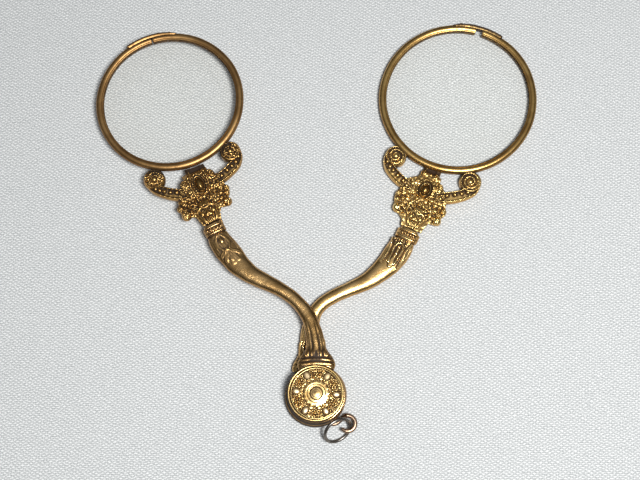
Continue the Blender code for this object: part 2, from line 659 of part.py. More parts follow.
def make_rivet():
    rivet = turned("pivot_rivet", [
        (0.0, RIVET_TOP), (RIVET_HEAD_R - 0.25, RIVET_TOP), (RIVET_HEAD_R, RIVET_TOP - 0.18),
        (RIVET_HEAD_R, SEAT_Z), (PIVOT_R, SEAT_Z), (PIVOT_R, RIVET_Z0), (0.0, RIVET_Z0)])
    dress(rivet, STEEL_MAT)


def make_cap():
    cap = turned("rear_cap", [
        (0.0, CAP_FLOOR), (CAP_BORE_R, CAP_FLOOR), (CAP_BORE_R, CAP_TOP),
        (CAP_R - 0.5, CAP_TOP), (CAP_R, 0.68), (CAP_R, 0.30), (CAP_R - 0.40, 0.0),
        (0.0, 0.0)], steps=40)
    dress(cap, HUB_MAT)


def make_washer():
    washer = turned("friction_washer", [(WASHER_HOLE_R, WASHER_Z1), (WASHER_R, WASHER_Z1),
                                        (WASHER_R, WASHER_Z0), (WASHER_HOLE_R, WASHER_Z0)])
    dress(washer, STEEL_MAT)


def make_bezel():
    bezel = turned("roundel_bezel", [
        (BEZEL_IN + 0.08, BEZEL_TOP), (BEZEL_R - 0.10, BEZEL_TOP), (BEZEL_R, BEZEL_TOP - 0.22),
        (BEZEL_R, SEAT_Z), (BEZEL_IN, SEAT_Z), (BEZEL_IN, BEZEL_TOP - 0.25)], steps=40)
    dress(bezel, HUB_MAT)


def make_roundel():
    """Disc with a rosette and a circle of pearls, hollowed over the rivet head."""
    roundel = turned("front_roundel", ROSETTE + [
        (ROUNDEL_R, ROUNDEL_TOP), (ROUNDEL_R, SEAT_Z), (ROUNDEL_BORE_R, SEAT_Z),
        (ROUNDEL_BORE_R, ROUNDEL_BORE_TOP), (0.0, ROUNDEL_BORE_TOP)], steps=40)
    for k, degrees in enumerate(PEARL_DEGREES):
        centre = (*polar(0.0, 0.0, PEARL_CIRCLE_R, degrees), PEARL_Z)
        pearl = dome("pearl_%d" % k, centre, PEARL_RADII, segments=12, rings=6)
        boolean(roundel, pearl, "UNION")
    dress(roundel, HUB_MAT)


# ------------------------------------------------------------------ bail and jump ring
BAIL_EYE_R = 3.30
STRAP_HEADING = math.radians(-60.4)
STRAP_START, STRAP_END, STRAP_HALF = 2.0, 7.3, 0.8
STRAP_INSET_Z = 0.04
HOOK_WIRE_R = 0.50
# hook from the strap up to the curl: (x, y, z, wire radius)
HOOK_LEAD = [(3.45, -6.20, 1.28, 0.43), (4.35, -5.98, 1.30, 0.43),
             (5.15, -5.36, 1.45, 0.44), (5.80, -4.72, 1.85, 0.46)]
CURL_CENTRE, CURL_R, CURL_Z = (6.67, -6.15), 1.68, 2.50
CURL_DEGREES = range(95, -143, -25)

RING_R, RING_WIRE_R = 3.10, 0.37
RING_CENTRE = (4.50, -7.72, 2.95)
RING_JOINT = (7.19, -6.20, CURL_Z)   # origin of the ring's pivot, inside the curl
RING_HEADING = math.radians(34.0)  # direction of the ring's level diameter
RING_LEAN = math.radians(55.0)     # how far the ring stands up from flat
RING_STEPS = 40


def make_bail():
    """An eye plate on the pivot, a strap to the hub's edge, and a hooked wire."""
    bail = cylinder("ribbon_bail", 0, 0, BAIL_EYE_R, BAIL_Z0, BAIL_Z1, PARTS, segments=40)
    cosine, sine = math.cos(STRAP_HEADING), math.sin(STRAP_HEADING)
    corners = [(along * cosine - across * sine, along * sine + across * cosine)
               for along, across in ((STRAP_START, -STRAP_HALF), (STRAP_END, -STRAP_HALF),
                                     (STRAP_END, STRAP_HALF), (STRAP_START, STRAP_HALF))]
    strap = plate("bail_strap", corners, BAIL_Z0 + STRAP_INSET_Z, BAIL_Z1 - STRAP_INSET_Z)
    curl = [(*polar(*CURL_CENTRE, CURL_R, degrees), CURL_Z, HOOK_WIRE_R)
            for degrees in CURL_DEGREES]
    hook = wire("bail_hook", smooth(HOOK_LEAD + curl), HOOK_WIRE_R, CUTTERS)
    hole = cylinder("bail_hole", 0, 0, PIVOT_HOLE_R, 0.0, 3.0)
    boolean(bail, strap, "UNION")
    boolean(bail, hook, "UNION")
    boolean(bail, hole, "DIFFERENCE")
    dress(bail, HUB_MAT, empty("bail_pivot"))


def make_jump_ring():
    """Wire ring threaded through the hook, drawn about its own pivot."""
    cosine, sine = math.cos(RING_HEADING), math.sin(RING_HEADING)
    level = Vector((cosine, sine, 0.0))
    rise = Vector((-sine * math.cos(RING_LEAN), cosine * math.cos(RING_LEAN),
                   math.sin(RING_LEAN)))
    centre = Vector(RING_CENTRE) - Vector(RING_JOINT)
    loop = []
    for k in range(RING_STEPS):
        angle = 2.0 * math.pi * k / RING_STEPS
        loop.append(tuple(centre + RING_R * (math.cos(angle) * level + math.sin(angle) * rise)))
    ring = wire("jump_ring", loop, RING_WIRE_R, PARTS, cyclic=True)
    dress(ring, STEEL_MAT, empty("jump_ring_pivot", RING_JOINT))


make_rivet()
make_cap()
make_washer()
make_bezel()
make_roundel()
make_bail()
make_jump_ring()

bpy.context.view_layer.update()
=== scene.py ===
# Scissors-pattern eyeglasses lying flat, seen from above (+z). The pivot stands on the z axis
# and the two leaves spread towards +y: the left (front, upper) one to -x, the right (rear,
# lower) one to +x. Lengths are in millimetres unless they go through MM. A leaf is drawn
# flat in its own frame (x right, y from the pivot to its lens, z up from its mid plane) and
# then turned into place in the open pair, whose coordinates are called row_x and row_y.
import math

import bmesh
import bpy
import numpy as np
from mathutils import Matrix, Vector


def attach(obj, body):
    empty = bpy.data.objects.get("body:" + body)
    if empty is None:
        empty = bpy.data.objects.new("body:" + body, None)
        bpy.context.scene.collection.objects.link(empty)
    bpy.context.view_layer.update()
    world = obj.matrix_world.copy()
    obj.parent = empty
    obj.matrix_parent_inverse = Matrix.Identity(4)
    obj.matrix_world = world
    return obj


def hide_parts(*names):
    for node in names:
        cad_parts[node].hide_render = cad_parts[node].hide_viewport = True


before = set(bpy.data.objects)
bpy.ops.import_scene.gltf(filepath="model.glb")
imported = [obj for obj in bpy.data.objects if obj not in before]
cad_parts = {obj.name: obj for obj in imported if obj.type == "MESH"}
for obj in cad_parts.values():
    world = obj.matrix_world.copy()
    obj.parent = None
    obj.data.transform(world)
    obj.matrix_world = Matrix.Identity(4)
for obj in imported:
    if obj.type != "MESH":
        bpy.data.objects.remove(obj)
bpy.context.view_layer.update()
MM = 0.001
OPEN = math.radians(25.97)
TURN = {"left": OPEN, "right": -OPEN}
MID_Z = {"left": 5.05, "right": 1.85}
REACH = {"left": 76.40, "right": 76.98}  # pivot to lens centre
PLACE = {"left": "front", "right": "rear"}


# ------------------------------------------------------------------ fields
# A field is a sampled distance, negative inside the solid.
def soft_min(first, second, blend):
    share = np.clip(0.5 + 0.5 * (second - first) / blend, 0.0, 1.0)
    return second * (1.0 - share) + first * share - blend * share * (1.0 - share)


def soft_max(first, second, blend):
    return -soft_min(-first, -second, blend)


def smoothstep(start, end, value):
    share = np.clip((value - start) / (end - start), 0.0, 1.0)
    return share * share * (3.0 - 2.0 * share)


def bell(offset, width):
    return np.exp(-(offset / width) ** 2)


def cap(squared, power=1.0):
    """A rounded crown: 1 in the middle, 0 where the squared reach passes 1."""
    return np.clip(1.0 - squared, 0.0, None) ** power


def beyond(value, low, high):
    return np.maximum(low - value, value - high)


def lift(plan):
    """Gives a field over the plane a height axis."""
    return plan[:, :, None]


def turned(x, y, angle):
    """A place as seen from axes turned anticlockwise by an angle."""
    cos, sin = math.cos(angle), math.sin(angle)
    return x * cos + y * sin, -x * sin + y * cos


def to_leaf(side, x, y):
    return turned(x, y, TURN[side])


def to_row(side, x, y):
    return turned(x, y, -TURN[side])


def nearest_on(x, y, start, end):
    """Share of a segment run at its nearest place, and the squared distance to it."""
    run_x, run_y = end[0] - start[0], end[1] - start[1]
    share = np.clip(((x - start[0]) * run_x + (y - start[1]) * run_y)
                    / (run_x * run_x + run_y * run_y), 0.0, 1.0)
    return share, (x - start[0] - share * run_x) ** 2 + (y - start[1] - share * run_y) ** 2


class Sheet:
    """A grid over a plane with its heights, and the relief drawn on it."""

    def __init__(self, x_span, y_span, z_span, step):
        self.lines = [start + step * np.arange(int(round((end - start) / step)) + 1)
                      for start, end in (x_span, y_span)]
        self.x, self.y = np.meshgrid(*self.lines, indexing="ij")
        self.z = np.arange(*z_span, step)[None, None, :]
        self.step = step
        self.grid = (x_span[0], y_span[0], z_span[0]), step
        self.relief = np.zeros_like(self.x)

    def window(self, xs, ys, margin):
        spans = []
        for line, values in zip(self.lines, (xs, ys)):
            first = max(0, int((min(values) - margin - line[0]) / self.step))
            last = min(len(line), int((max(values) + margin - line[0]) / self.step) + 2)
            spans.append(slice(first, max(first, last)))
        return tuple(spans)

    def dome(self, x, y, x_radius, y_radius, height, degrees=0.0, power=0.62):
        """Adds a rounded bump, or a pit when height is negative."""
        window = self.window((x,), (y,), max(x_radius, y_radius))
        across, up = turned(self.x[window] - x, self.y[window] - y, math.radians(degrees))
        squared = (across / x_radius) ** 2 + (up / y_radius) ** 2
        self.relief[window] += height * cap(squared, power)

    def ridge(self, points, radius, height):
        """Adds a rounded ridge on a polyline; a third value per point scales its width."""
        points = [(*point, 1.0)[:3] for point in points]
        xs, ys, _ = zip(*points)
        window = self.window(xs, ys, radius)
        x, y = self.x[window], self.y[window]
        squared = np.full(x.shape, 9.0)
        for start, end in zip(points, points[1:]):
            share, gap = nearest_on(x, y, start, end)
            width = radius * (start[2] + share * (end[2] - start[2]))
            squared = np.minimum(squared, gap / (width * width))
        self.relief[window] += height * cap(squared, 0.8)

    def grain(self, mask, cell, height, seed):
        reach = cells(self.x, self.y, cell, seed)
        self.relief += mask * height * cap((reach / 0.62) ** 2, 0.6)


def cells(x, y, size, seed):
    """Distance to the nearest point of a jittered grid, in cells."""
    x, y = x / size, y / size
    floor_x, floor_y = np.floor(x), np.floor(y)
    best = np.full(x.shape, 9.0)

    def jitter(cell_x, cell_y, x_rate, y_rate, seed_rate):
        noise = np.sin(cell_x * x_rate + cell_y * y_rate + seed * seed_rate) * 4375.85453
        return (noise - np.floor(noise) - 0.5) * 0.7

    for i in (-1, 0, 1):
        for j in (-1, 0, 1):
            cell = floor_x + i, floor_y + j
            point_x = cell[0] + 0.5 + jitter(*cell, 127.1, 311.7, 17.3)
            point_y = cell[1] + 0.5 + jitter(*cell, 269.5, 183.3, 29.1)
            best = np.minimum(best, (x - point_x) ** 2 + (y - point_y) ** 2)
    return np.sqrt(best)


def catmull(points, steps):
    """A Catmull-Rom curve through the points."""
    curve = []
    padded = [points[0]] + list(points) + [points[-1]]
    for near in zip(padded, padded[1:], padded[2:], padded[3:]):
        for k in range(steps):
            t = k / steps
            curve.append(tuple(
                0.5 * (2 * b + (c - a) * t + (2 * a - 5 * b + 4 * c - d) * t * t
                       + (3 * b - a - 3 * c + d) * t ** 3) for a, b, c, d in zip(*near)))
    curve.append(tuple(points[-1]))
    return curve


def trace(x, y, points):
    """Nearest place on a polyline of (x, y, value): distance to it, value, length run."""
    best = np.full(x.shape, 1e9)
    value, run = np.zeros(x.shape), np.zeros(x.shape)
    done = 0.0
    for start, end in zip(points, points[1:]):
        share, gap = nearest_on(x, y, start, end)
        length = math.hypot(end[0] - start[0], end[1] - start[1])
        closer = gap < best
        best = np.where(closer, gap, best)
        value = np.where(closer, start[2] + share * (end[2] - start[2]), value)
        run = np.where(closer, done + share * length, run)
        done += length
    return np.sqrt(best), value, run


def distance(x, y, line):
    return np.sqrt(np.minimum.reduce(
        [nearest_on(x, y, start, end)[1] for start, end in zip(line, line[1:])]))


def polygon(x, y, points):
    """Signed distance to a closed outline, negative inside."""
    closed = points + points[:1]
    inside = np.zeros(x.shape, bool)
    for (x0, y0), (x1, y1) in zip(closed, closed[1:]):
        if y0 != y1:
            crossed = (y0 > y) != (y1 > y)
            inside ^= crossed & (x < (x1 - x0) * (y - y0) / (y1 - y0) + x0)
    gap = distance(x, y, closed)
    return np.where(inside, -gap, gap)


def slab(sheet, outline, top, bottom, soft):
    """A relief plate: inside the outline, below the top relief and above the bottom."""
    slope_x, slope_y = np.gradient(top, sheet.step)
    # a sloping surface is longer than its plan, which would make the field uneven
    steep = np.sqrt(1.0 + np.clip(slope_x * slope_x + slope_y * slope_y, 0.0, 12.0))
    field = (sheet.z - lift(top)) / lift(steep)
    field = soft_max(field, np.atleast_3d(bottom) - sheet.z, 0.12)
    return soft_max(field, lift(outline), soft)


def power_oval(across, z, half_height, power):
    """Superellipse field: across is the reach in half widths, z the height."""
    return (lift(np.abs(across) ** power) + (np.abs(z) / half_height) ** power) ** (1.0 / power)


# ------------------------------------------------------------------ meshes
def surface_nets(field, grid):
    """Closed quads on the zero level of a sampled field that is negative inside."""
    origin, step = grid
    inside = field < 0.0
    corners = [(i, j, k) for i in (0, 1) for j in (0, 1) for k in (0, 1)]
    shape = [size - 1 for size in field.shape]
    count = np.zeros(shape, np.uint8)
    for corner in corners:
        count += inside[tuple(slice(k, size + k) for k, size in zip(corner, shape))]
    active = (count > 0) & (count < 8)
    cell = np.stack(np.nonzero(active), 1)
    index = np.full(active.shape, -1, np.int32)
    index[active] = np.arange(len(cell))
    value = {corner: field[tuple((cell + corner).T)] for corner in corners}
    total, hits = np.zeros(cell.shape), np.zeros(len(cell))
    for axis in range(3):
        for corner in corners:
            if corner[axis]:
                continue
            here = value[corner]
            there = value[corner[:axis] + (1,) + corner[axis + 1:]]
            cut = (here < 0.0) != (there < 0.0)
            point = np.tile(np.array(corner, float), (int(cut.sum()), 1))
            point[:, axis] = here[cut] / (here[cut] - there[cut])
            total[cut] += point
            hits[cut] += 1
    verts = (total / hits[:, None] + cell) * step + np.array(origin, float)
    quads = []
    for axis in range(3):
        near, far = [slice(1, -1)] * 3, [slice(1, -1)] * 3
        near[axis], far[axis] = slice(0, -1), slice(1, None)
        here, there = inside[tuple(near)], inside[tuple(far)]
        edge = np.nonzero(here != there)
        flip = there[edge]
        first, second = (axis + 1) % 3, (axis + 2) % 3
        loop = []
        for i, j in ((0, 0), (1, 0), (1, 1), (0, 1)):
            at = list(edge)
            at[first] = at[first] + i
            at[second] = at[second] + j
            loop.append(index[tuple(at)])
        loop = np.stack(loop, 1)
        loop[flip] = loop[flip][:, ::-1]
        quads.append(loop)
    return keep_largest(verts, np.concatenate(quads))


def keep_largest(verts, quads):
    """Drops any loose crumb, so a piece is one body."""
    label = np.arange(len(verts))
    for _ in range(200):
        lowest = label[quads].min(1)
        spread = label.copy()
        for k in range(4):
            np.minimum.at(spread, quads[:, k], lowest)
        spread = spread[spread]
        spread = spread[spread]
        if np.array_equal(spread, label):
            break
        label = spread
    keep = label == np.bincount(label).argmax()
    remap = np.cumsum(keep) - 1
    return verts[keep], remap[quads[keep[quads[:, 0]]]]


def quad_mesh(name, verts, quads):
    mesh = bpy.data.meshes.new(name)
    count = len(quads)
    mesh.vertices.add(len(verts))
    mesh.vertices.foreach_set("co", np.asarray(verts, np.float32).ravel())
    mesh.loops.add(count * 4)
    mesh.loops.foreach_set("vertex_index", np.asarray(quads, np.int32).ravel())
    mesh.polygons.add(count)
    mesh.polygons.foreach_set("loop_start", np.arange(0, count * 4, 4, dtype=np.int32))
    mesh.polygons.foreach_set("use_smooth", np.ones(count, bool))
    mesh.update(calc_edges=True)
    mesh.validate()
    return mesh


def read_points(mesh, field):
    values = np.zeros(len(mesh.vertices) * 3, np.float32)
    mesh.vertices.foreach_get(field, values)
    return values.reshape(-1, 3)


def store_hollows(mesh, quads):
    """Stores how far each point stands above (+) or below (-) its smoothed surroundings."""
    count = len(mesh.vertices)
    points = read_points(mesh, "co").astype(float) / MM
    normals = read_points(mesh, "normal")
    ends = np.concatenate([quads[:, [k, (k + 1) % 4]] for k in range(4)])
    head, tail = ends[:, 0], ends[:, 1]
    degree = np.bincount(head, minlength=count) + np.bincount(tail, minlength=count)
    degree = np.maximum(degree, 1)
    smooth = points.copy()
    # cav_wide starts as the wide hollows; tarnish_and_painted_light later adds painted shade and
    # painted highlight to it
    names = {5: "cav_fine", 30: "cav_wide"}  # by number of smoothing passes
    for step in range(1, 31):
        near = np.stack([np.bincount(head, smooth[tail, k], count)
                         + np.bincount(tail, smooth[head, k], count) for k in range(3)], 1)
        smooth = 0.3 * smooth + 0.7 * near / degree[:, None]
        if step in names:
            height = ((points - smooth) * normals).sum(1)
            attribute = mesh.attributes.new(names[step], "FLOAT", "POINT")
            attribute.data.foreach_set("value", height.astype(np.float32))


def on_leaf(side, node, family="gilt", material=None):
    """A leaf piece's home: body, frame node it replaces, slot and material key."""
    slot = f"{family}_{PLACE[side]}"
    return f"{PLACE[side]}_leaf", f"{side}_{node}", slot, material or slot


def add_piece(name, mesh, home):
    body, node, slot, material = home
    ob = bpy.data.objects.new(name, mesh)
    bpy.context.scene.collection.objects.link(ob)
    mesh.materials.append(MATERIALS[material])
    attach(ob, body)
    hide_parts(node)
    return ob


def tarnish_and_painted_light(ob, weight):
    """Darkens a piece where weight(x, y, z), in millimetres, is above nought and brightens it
    where below: tarnish in some places, painted shade and painted highlight in others.
    """
    mesh = ob.data
    x, y, z = (read_points(mesh, "co").astype(float) / MM).T
    attribute = mesh.attributes.get("cav_wide")
    attribute = attribute or mesh.attributes.new("cav_wide", "FLOAT", "POINT")
    value = np.zeros(len(x), np.float32)
    attribute.data.foreach_get("value", value)
    attribute.data.foreach_set("value", (value - weight(x, y, z)).astype(np.float32))


def leaf_to_row(points, side):
    x, y, z = np.array(points, float).T
    return np.stack([*to_row(side, x, y), z + MID_Z[side]], 1)


def cast_piece(name, field, grid, home, side=None):
    """Meshes a field; with a side, turns it from that leaf's frame into place."""
    verts, quads = surface_nets(field, grid)
    if side is not None:
        verts = leaf_to_row(verts, side)
    mesh = quad_mesh(name, verts * MM, quads)
    store_hollows(mesh, quads)
    return add_piece(name, mesh, home)


def swept_piece(name, sections, home, closed=False, sharp=42.0):
    """Skins loops of equal length into a tube, capped unless it closes on itself."""
    count, sides = len(sections), len(sections[0])
    faces = []
    for i in range(count if closed else count - 1):
        here, there = i * sides, (i + 1) % count * sides
        for k in range(sides):
            after = (k + 1) % sides
            faces.append((here + k, here + after, there + after, there + k))
    if not closed:
        faces.append(tuple(range(sides))[::-1])
        faces.append(tuple((count - 1) * sides + k for k in range(sides)))
    verts = np.concatenate([np.asarray(section, float) for section in sections])
    mesh = bpy.data.meshes.new(name)
    mesh.from_pydata([tuple(vert * MM) for vert in verts], [], faces)
    bm = bmesh.new()
    bm.from_mesh(mesh)
    bmesh.ops.recalc_face_normals(bm, faces=bm.faces)
    bm.to_mesh(mesh)
    bm.free()
    mesh.shade_smooth()
    mesh.set_sharp_from_angle(angle=math.radians(sharp))
    return add_piece(name, mesh, home)


# ------------------------------------------------------------------ materials
class Nodes:
    """A material under construction. Inputs go by name, or by index as in0, in1..."""

    def __init__(self, name):
        self.mat = bpy.data.materials.new(name)
        self.mat.use_nodes = True
        self.tree = self.mat.node_tree
        self.tree.nodes.clear()

    def add(self, kind, props=(), **inputs):
        node = self.tree.nodes.new(kind)
        for key, value in dict(props).items():
            setattr(node, key, value)
        for key, value in inputs.items():
            key = int(key[2:]) if key.startswith("in") else key.replace("_", " ")
            if isinstance(value, bpy.types.NodeSocket):
                self.tree.links.new(value, node.inputs[key])
            else:
                node.inputs[key].default_value = value
        return node

    def math(self, operation, first, second=0.0):
        return self.add("ShaderNodeMath", {"operation": operation},
                        in0=first, in1=second).outputs[0]

    def weighted(self, *terms, base=None):
        """Sum of (socket, weight) terms, starting from a base if given."""
        total = base
        for socket, weight in terms:
            term = self.math("MULTIPLY", socket, weight)
            total = term if total is None else self.math("ADD", total, term)
        return total

    def mix(self, share, first, second):
        return self.add("ShaderNodeMix", {"data_type": "RGBA"},
                        in0=share, in6=first, in7=second).outputs[2]

    def blend(self, share, first, second):
        return self.add("ShaderNodeMix", {"data_type": "FLOAT"},
                        in0=share, in2=first, in3=second).outputs[0]

    def ramp(self, value, start, end, low=0.0, high=1.0):
        """Eases from low to high as the value runs from start to end."""
        props = {"clamp": True, "interpolation_type": "SMOOTHSTEP"}
        return self.add("ShaderNodeMapRange", props,
                        in0=value, in1=start, in2=end, in3=low, in4=high).outputs[0]

    def noise(self, coord, scale, detail, rough, distort=0.0):
        return self.add("ShaderNodeTexNoise", Vector=coord, Scale=scale, Detail=detail,
                        Roughness=rough, Distortion=distort).outputs[0]

    def millimetres(self):
        """Object coordinates in millimetres."""
        coord = self.add("ShaderNodeTexCoord").outputs["Object"]
        return self.add("ShaderNodeVectorMath", {"operation": "SCALE"},
                        in0=coord, Scale=1000.0).outputs[0]

    def stretched(self, coord, scale, turn):
        return self.add("ShaderNodeMapping", Vector=coord, Scale=scale,
                        Rotation=(0.0, 0.0, turn)).outputs[0]

    def attribute(self, name):
        return self.add("ShaderNodeAttribute", {"attribute_name": name}).outputs["Fac"]

    def finish(self, shader):
        self.add("ShaderNodeOutputMaterial", Surface=shader.outputs[0])
        return self.mat


def metal(name, gold, brown, deep, rough, recess, wear, spots, bump, edge):
    """Aged metal: two tones in patches, dark tarnish in the hollows, brighter worn ridges,
    painted shade on upright flanks, uneven polish, fine scratches and pits."""
    n = Nodes(name)
    coord = n.millimetres()
    big = n.noise(coord, scale=0.22, detail=6.0, rough=0.6, distort=0.3)
    mid = n.noise(coord, scale=1.6, detail=7.0, rough=0.62, distort=0.4)
    fine = n.noise(coord, scale=9.0, detail=5.0, rough=0.6)
    hair = n.noise(n.stretched(coord, scale=(9.0, 0.7, 4.0), turn=0.6),
                   scale=2.2, detail=4.0, rough=0.7)
    cav_fine, cav_wide = n.attribute("cav_fine"), n.attribute("cav_wide")
    ao = n.add("ShaderNodeAmbientOcclusion", {"samples": 6}, Distance=1.6 * MM).outputs["AO"]
    normal = n.add("ShaderNodeNewGeometry").outputs["Normal"]
    facing = n.add("ShaderNodeSeparateXYZ", Vector=normal).outputs[2]
    # shaded_flank: painted shade on surfaces that stand upright; low: tarnish in the hollows,
    # with painted shade added from the flanks and from cav_wide; high: worn
    # ridges, with painted highlight added from cav_wide
    shaded_flank = n.ramp(n.math("ABSOLUTE", facing), start=0.25, end=0.85, low=edge, high=0.0)
    low = n.weighted((cav_fine, -22.0 * recess), (cav_wide, -5.0 * recess),
                     (n.math("SUBTRACT", 1.0, ao), 1.1 * recess),
                     (n.math("SUBTRACT", mid, 0.5), 0.9), (shaded_flank, 0.30))
    low = n.ramp(low, start=0.12, end=0.78)
    high = n.weighted((cav_fine, 16.0), (cav_wide, 3.0), (n.math("SUBTRACT", mid, 0.5), 0.6))
    high = n.ramp(high, start=0.05, end=0.75, high=wear)

    patch = n.ramp(n.weighted((big, 0.7), (mid, 0.3)), start=0.36, end=0.62)
    tone = n.mix(patch, (*gold, 1.0), (*brown, 1.0))
    bright = [min(1.0, part * 1.18 + 0.03) for part in gold]
    tone = n.mix(high, tone, (*bright, 1.0))
    # painted shade: upright flanks turn a darker brown
    tone = n.mix(shaded_flank, tone, (brown[0] * 0.78, brown[1] * 0.60, brown[2] * 0.42, 1.0))
    speck = n.ramp(fine, start=0.60, end=0.72, high=spots)
    tone = n.mix(speck, tone, (*[0.5 * (a + b) for a, b in zip(brown, deep)], 1.0))
    tone = n.mix(low, tone, (*deep, 1.0))

    polish = n.weighted((mid, 0.16), (hair, 0.06), (low, 0.34), base=rough - 0.06)
    polish = n.math("SUBTRACT", polish, n.math("MULTIPLY", high, 0.10))
    polish = n.math("MAXIMUM", polish, 0.12)
    metallic = n.blend(low, 1.0, 0.35)
    relief = n.weighted((fine, 0.45), (hair, 0.30), (mid, 0.9))
    dents = n.add("ShaderNodeBump", Strength=bump, Distance=0.07 * MM, Height=relief)
    return n.finish(n.add("ShaderNodeBsdfPrincipled", Metallic=metallic, Roughness=polish,
                          Normal=dents.outputs[0], Base_Color=tone))


def glass():
    """Thin clear optical glass: it lets the light through nearly untouched, with a faint warm
    tint, a Fresnel sheen, fingerprints and fine wiping marks."""
    n = Nodes("clear_lens_glass")
    coord = n.millimetres()
    smear = n.noise(coord, scale=0.16, detail=5.0, rough=0.6, distort=1.2)
    streak = n.noise(n.stretched(coord, scale=(0.35, 5.0, 1.0), turn=0.9),
                     scale=1.1, detail=5.0, rough=0.7)
    dust = n.ramp(n.noise(coord, scale=4.5, detail=3.0, rough=0.5), start=0.70, end=0.76)
    film = n.math("ADD", n.ramp(smear, start=0.45, end=0.75, high=0.010),
                  n.ramp(streak, start=0.52, end=0.78, high=0.008))
    film = n.weighted((dust, 0.03), base=film)
    tint = n.mix(n.ramp(smear, start=0.3, end=0.7),
                 (0.998, 0.997, 0.991, 1.0), (0.995, 0.994, 0.986, 1.0))
    through = n.add("ShaderNodeBsdfTransparent", Color=tint)
    marks = n.add("ShaderNodeBump", Strength=0.12, Distance=0.03 * MM, Height=streak)
    shine = n.add("ShaderNodeBsdfGlossy", Color=(0.95, 0.97, 1.0, 1.0),
                  Roughness=n.weighted((film, 3.0), base=0.05), Normal=marks.outputs[0])
    fresnel = n.add("ShaderNodeFresnel", IOR=1.5).outputs[0]
    surface = n.add("ShaderNodeMixShader", in0=n.math("MULTIPLY", fresnel, 0.35),
                    in1=through.outputs[0], in2=shine.outputs[0])
    haze = n.add("ShaderNodeBsdfDiffuse", Color=(0.80, 0.78, 0.73, 1.0))
    return n.finish(n.add("ShaderNodeMixShader", in0=film,
                          in1=surface.outputs[0], in2=haze.outputs[0]))


# key: name, bright tone, brown tone, tarnish tone,
#      roughness, tarnish in hollows, wear on ridges, dark specks, bump, painted shade on upright
#      flanks
METALS = {
    "gilt_front": ("aged_gilt_front", (0.70, 0.450, 0.195), (0.39, 0.228, 0.082),
                   (0.034, 0.017, 0.007), 0.23, 0.96, 0.85, 0.45, 0.60, 0.80),
    "gilt_rear": ("aged_gilt_rear", (0.93, 0.625, 0.275), (0.64, 0.390, 0.135),
                  (0.044, 0.022, 0.008), 0.23, 0.92, 0.9, 0.40, 0.55, 0.75),
    "gilt_hub": ("aged_gilt_hub", (0.92, 0.66, 0.290), (0.72, 0.44, 0.142),
                 (0.070, 0.032, 0.009), 0.30, 0.90, 1.0, 0.35, 0.35, 0.8),
    "cast_left": ("cast_gilt_front", (0.635, 0.398, 0.133), (0.385, 0.218, 0.066),
                  (0.030, 0.015, 0.006), 0.30, 1.05, 0.9, 0.35, 0.35, 0.5),
    "cast_right": ("cast_gilt_rear", (0.90, 0.630, 0.245), (0.68, 0.425, 0.135),
                   (0.046, 0.022, 0.007), 0.29, 0.92, 0.9, 0.35, 0.35, 0.5),
    # pearl: the hub's brass made paler and brighter, a painted highlight on the pearls
    "pearl": ("polished_brass_pearl", (0.95, 0.80, 0.52), (0.88, 0.69, 0.39),
              (0.34, 0.23, 0.10), 0.38, 0.22, 0.9, 0.1, 0.35, 0.9),
    "gilt_hook": ("worn_gilt_hook", (0.50, 0.36, 0.25), (0.32, 0.21, 0.14),
                  (0.05, 0.03, 0.018), 0.30, 0.7, 0.5, 0.35, 0.35, 0.5),
    "cabochon": ("tarnished_cabochon", (0.60, 0.38, 0.13), (0.34, 0.19, 0.06),
                 (0.05, 0.025, 0.008), 0.24, 0.7, 0.8, 0.35, 0.35, 0.5),
    "rim_front": ("copper_gilt_rim_front", (0.500, 0.300, 0.120), (0.31, 0.172, 0.064),
                  (0.05, 0.026, 0.010), 0.35, 0.6, 0.5, 0.45, 0.35, 0.80),
    "rim_rear": ("copper_gilt_rim_rear", (0.66, 0.430, 0.155), (0.40, 0.232, 0.074),
                 (0.05, 0.026, 0.010), 0.26, 0.6, 0.6, 0.40, 0.35, 0.80),
    "dark_steel": ("dark_steel", (0.33, 0.31, 0.285), (0.20, 0.18, 0.160),
                   (0.035, 0.027, 0.020), 0.28, 0.7, 0.6, 0.5, 0.35, 0.5),
}
MATERIALS = {key: metal(*row) for key, row in METALS.items()}
MATERIALS["lens_glass"] = glass()

# ------------------------------------------------------------------ arms
# stem stations: y, centre x, width
ARM = {
    "left": [(11.0, 5.15, 4.10), (13.0, 5.68, 3.70), (16.0, 6.10, 3.35), (19.0, 5.70, 3.15),
             (22.0, 4.65, 3.10), (25.0, 2.90, 3.30), (28.0, 0.70, 3.75), (31.0, -1.35, 4.30),
             (34.0, -2.60, 5.15), (37.0, -3.25, 5.60), (40.0, -3.85, 5.35),
             (42.2, -3.95, 4.70)],
    "right": [(10.0, -6.50, 4.40), (12.5, -7.55, 4.00), (16.0, -8.35, 3.20),
              (19.0, -7.85, 3.05), (22.0, -6.02, 3.10), (25.0, -3.50, 3.30),
              (28.0, -0.95, 3.85), (31.0, 0.70, 4.60), (34.0, 1.90, 5.40),
              (37.0, 2.55, 5.85), (39.0, 2.80, 5.50), (40.25, 2.90, 4.95)],
}
ARM_HALF_HEIGHT = 1.30
# shoulder stations: row y, half width; then the centre row x at each
SHOULDER = [(5.3, 3.95), (6.4, 4.20), (7.3, 4.00), (8.3, 3.45), (9.2, 2.75), (10.2, 2.15),
            (12.0, 1.95)]
SHOULDER_X = {"left": [0.05] * 7, "right": [-1.40, -1.20, -1.10, -1.00, -1.30, -1.70, -1.80]}
# cast panel: start y, depth of its floor
PANEL = {"left": (32.6, 0.10), "right": (31.8, 0.14)}
# neck y span, centre x and width; collar y span and outer width
NECK = {"left": dict(y0=42.2, y1=45.0, x=-3.95, width=4.05, collar=(42.50, 44.50), outer=5.0),
        "right": dict(y0=40.3, y1=43.1, x=3.05, width=4.35, collar=(40.55, 42.65), outer=5.4)}
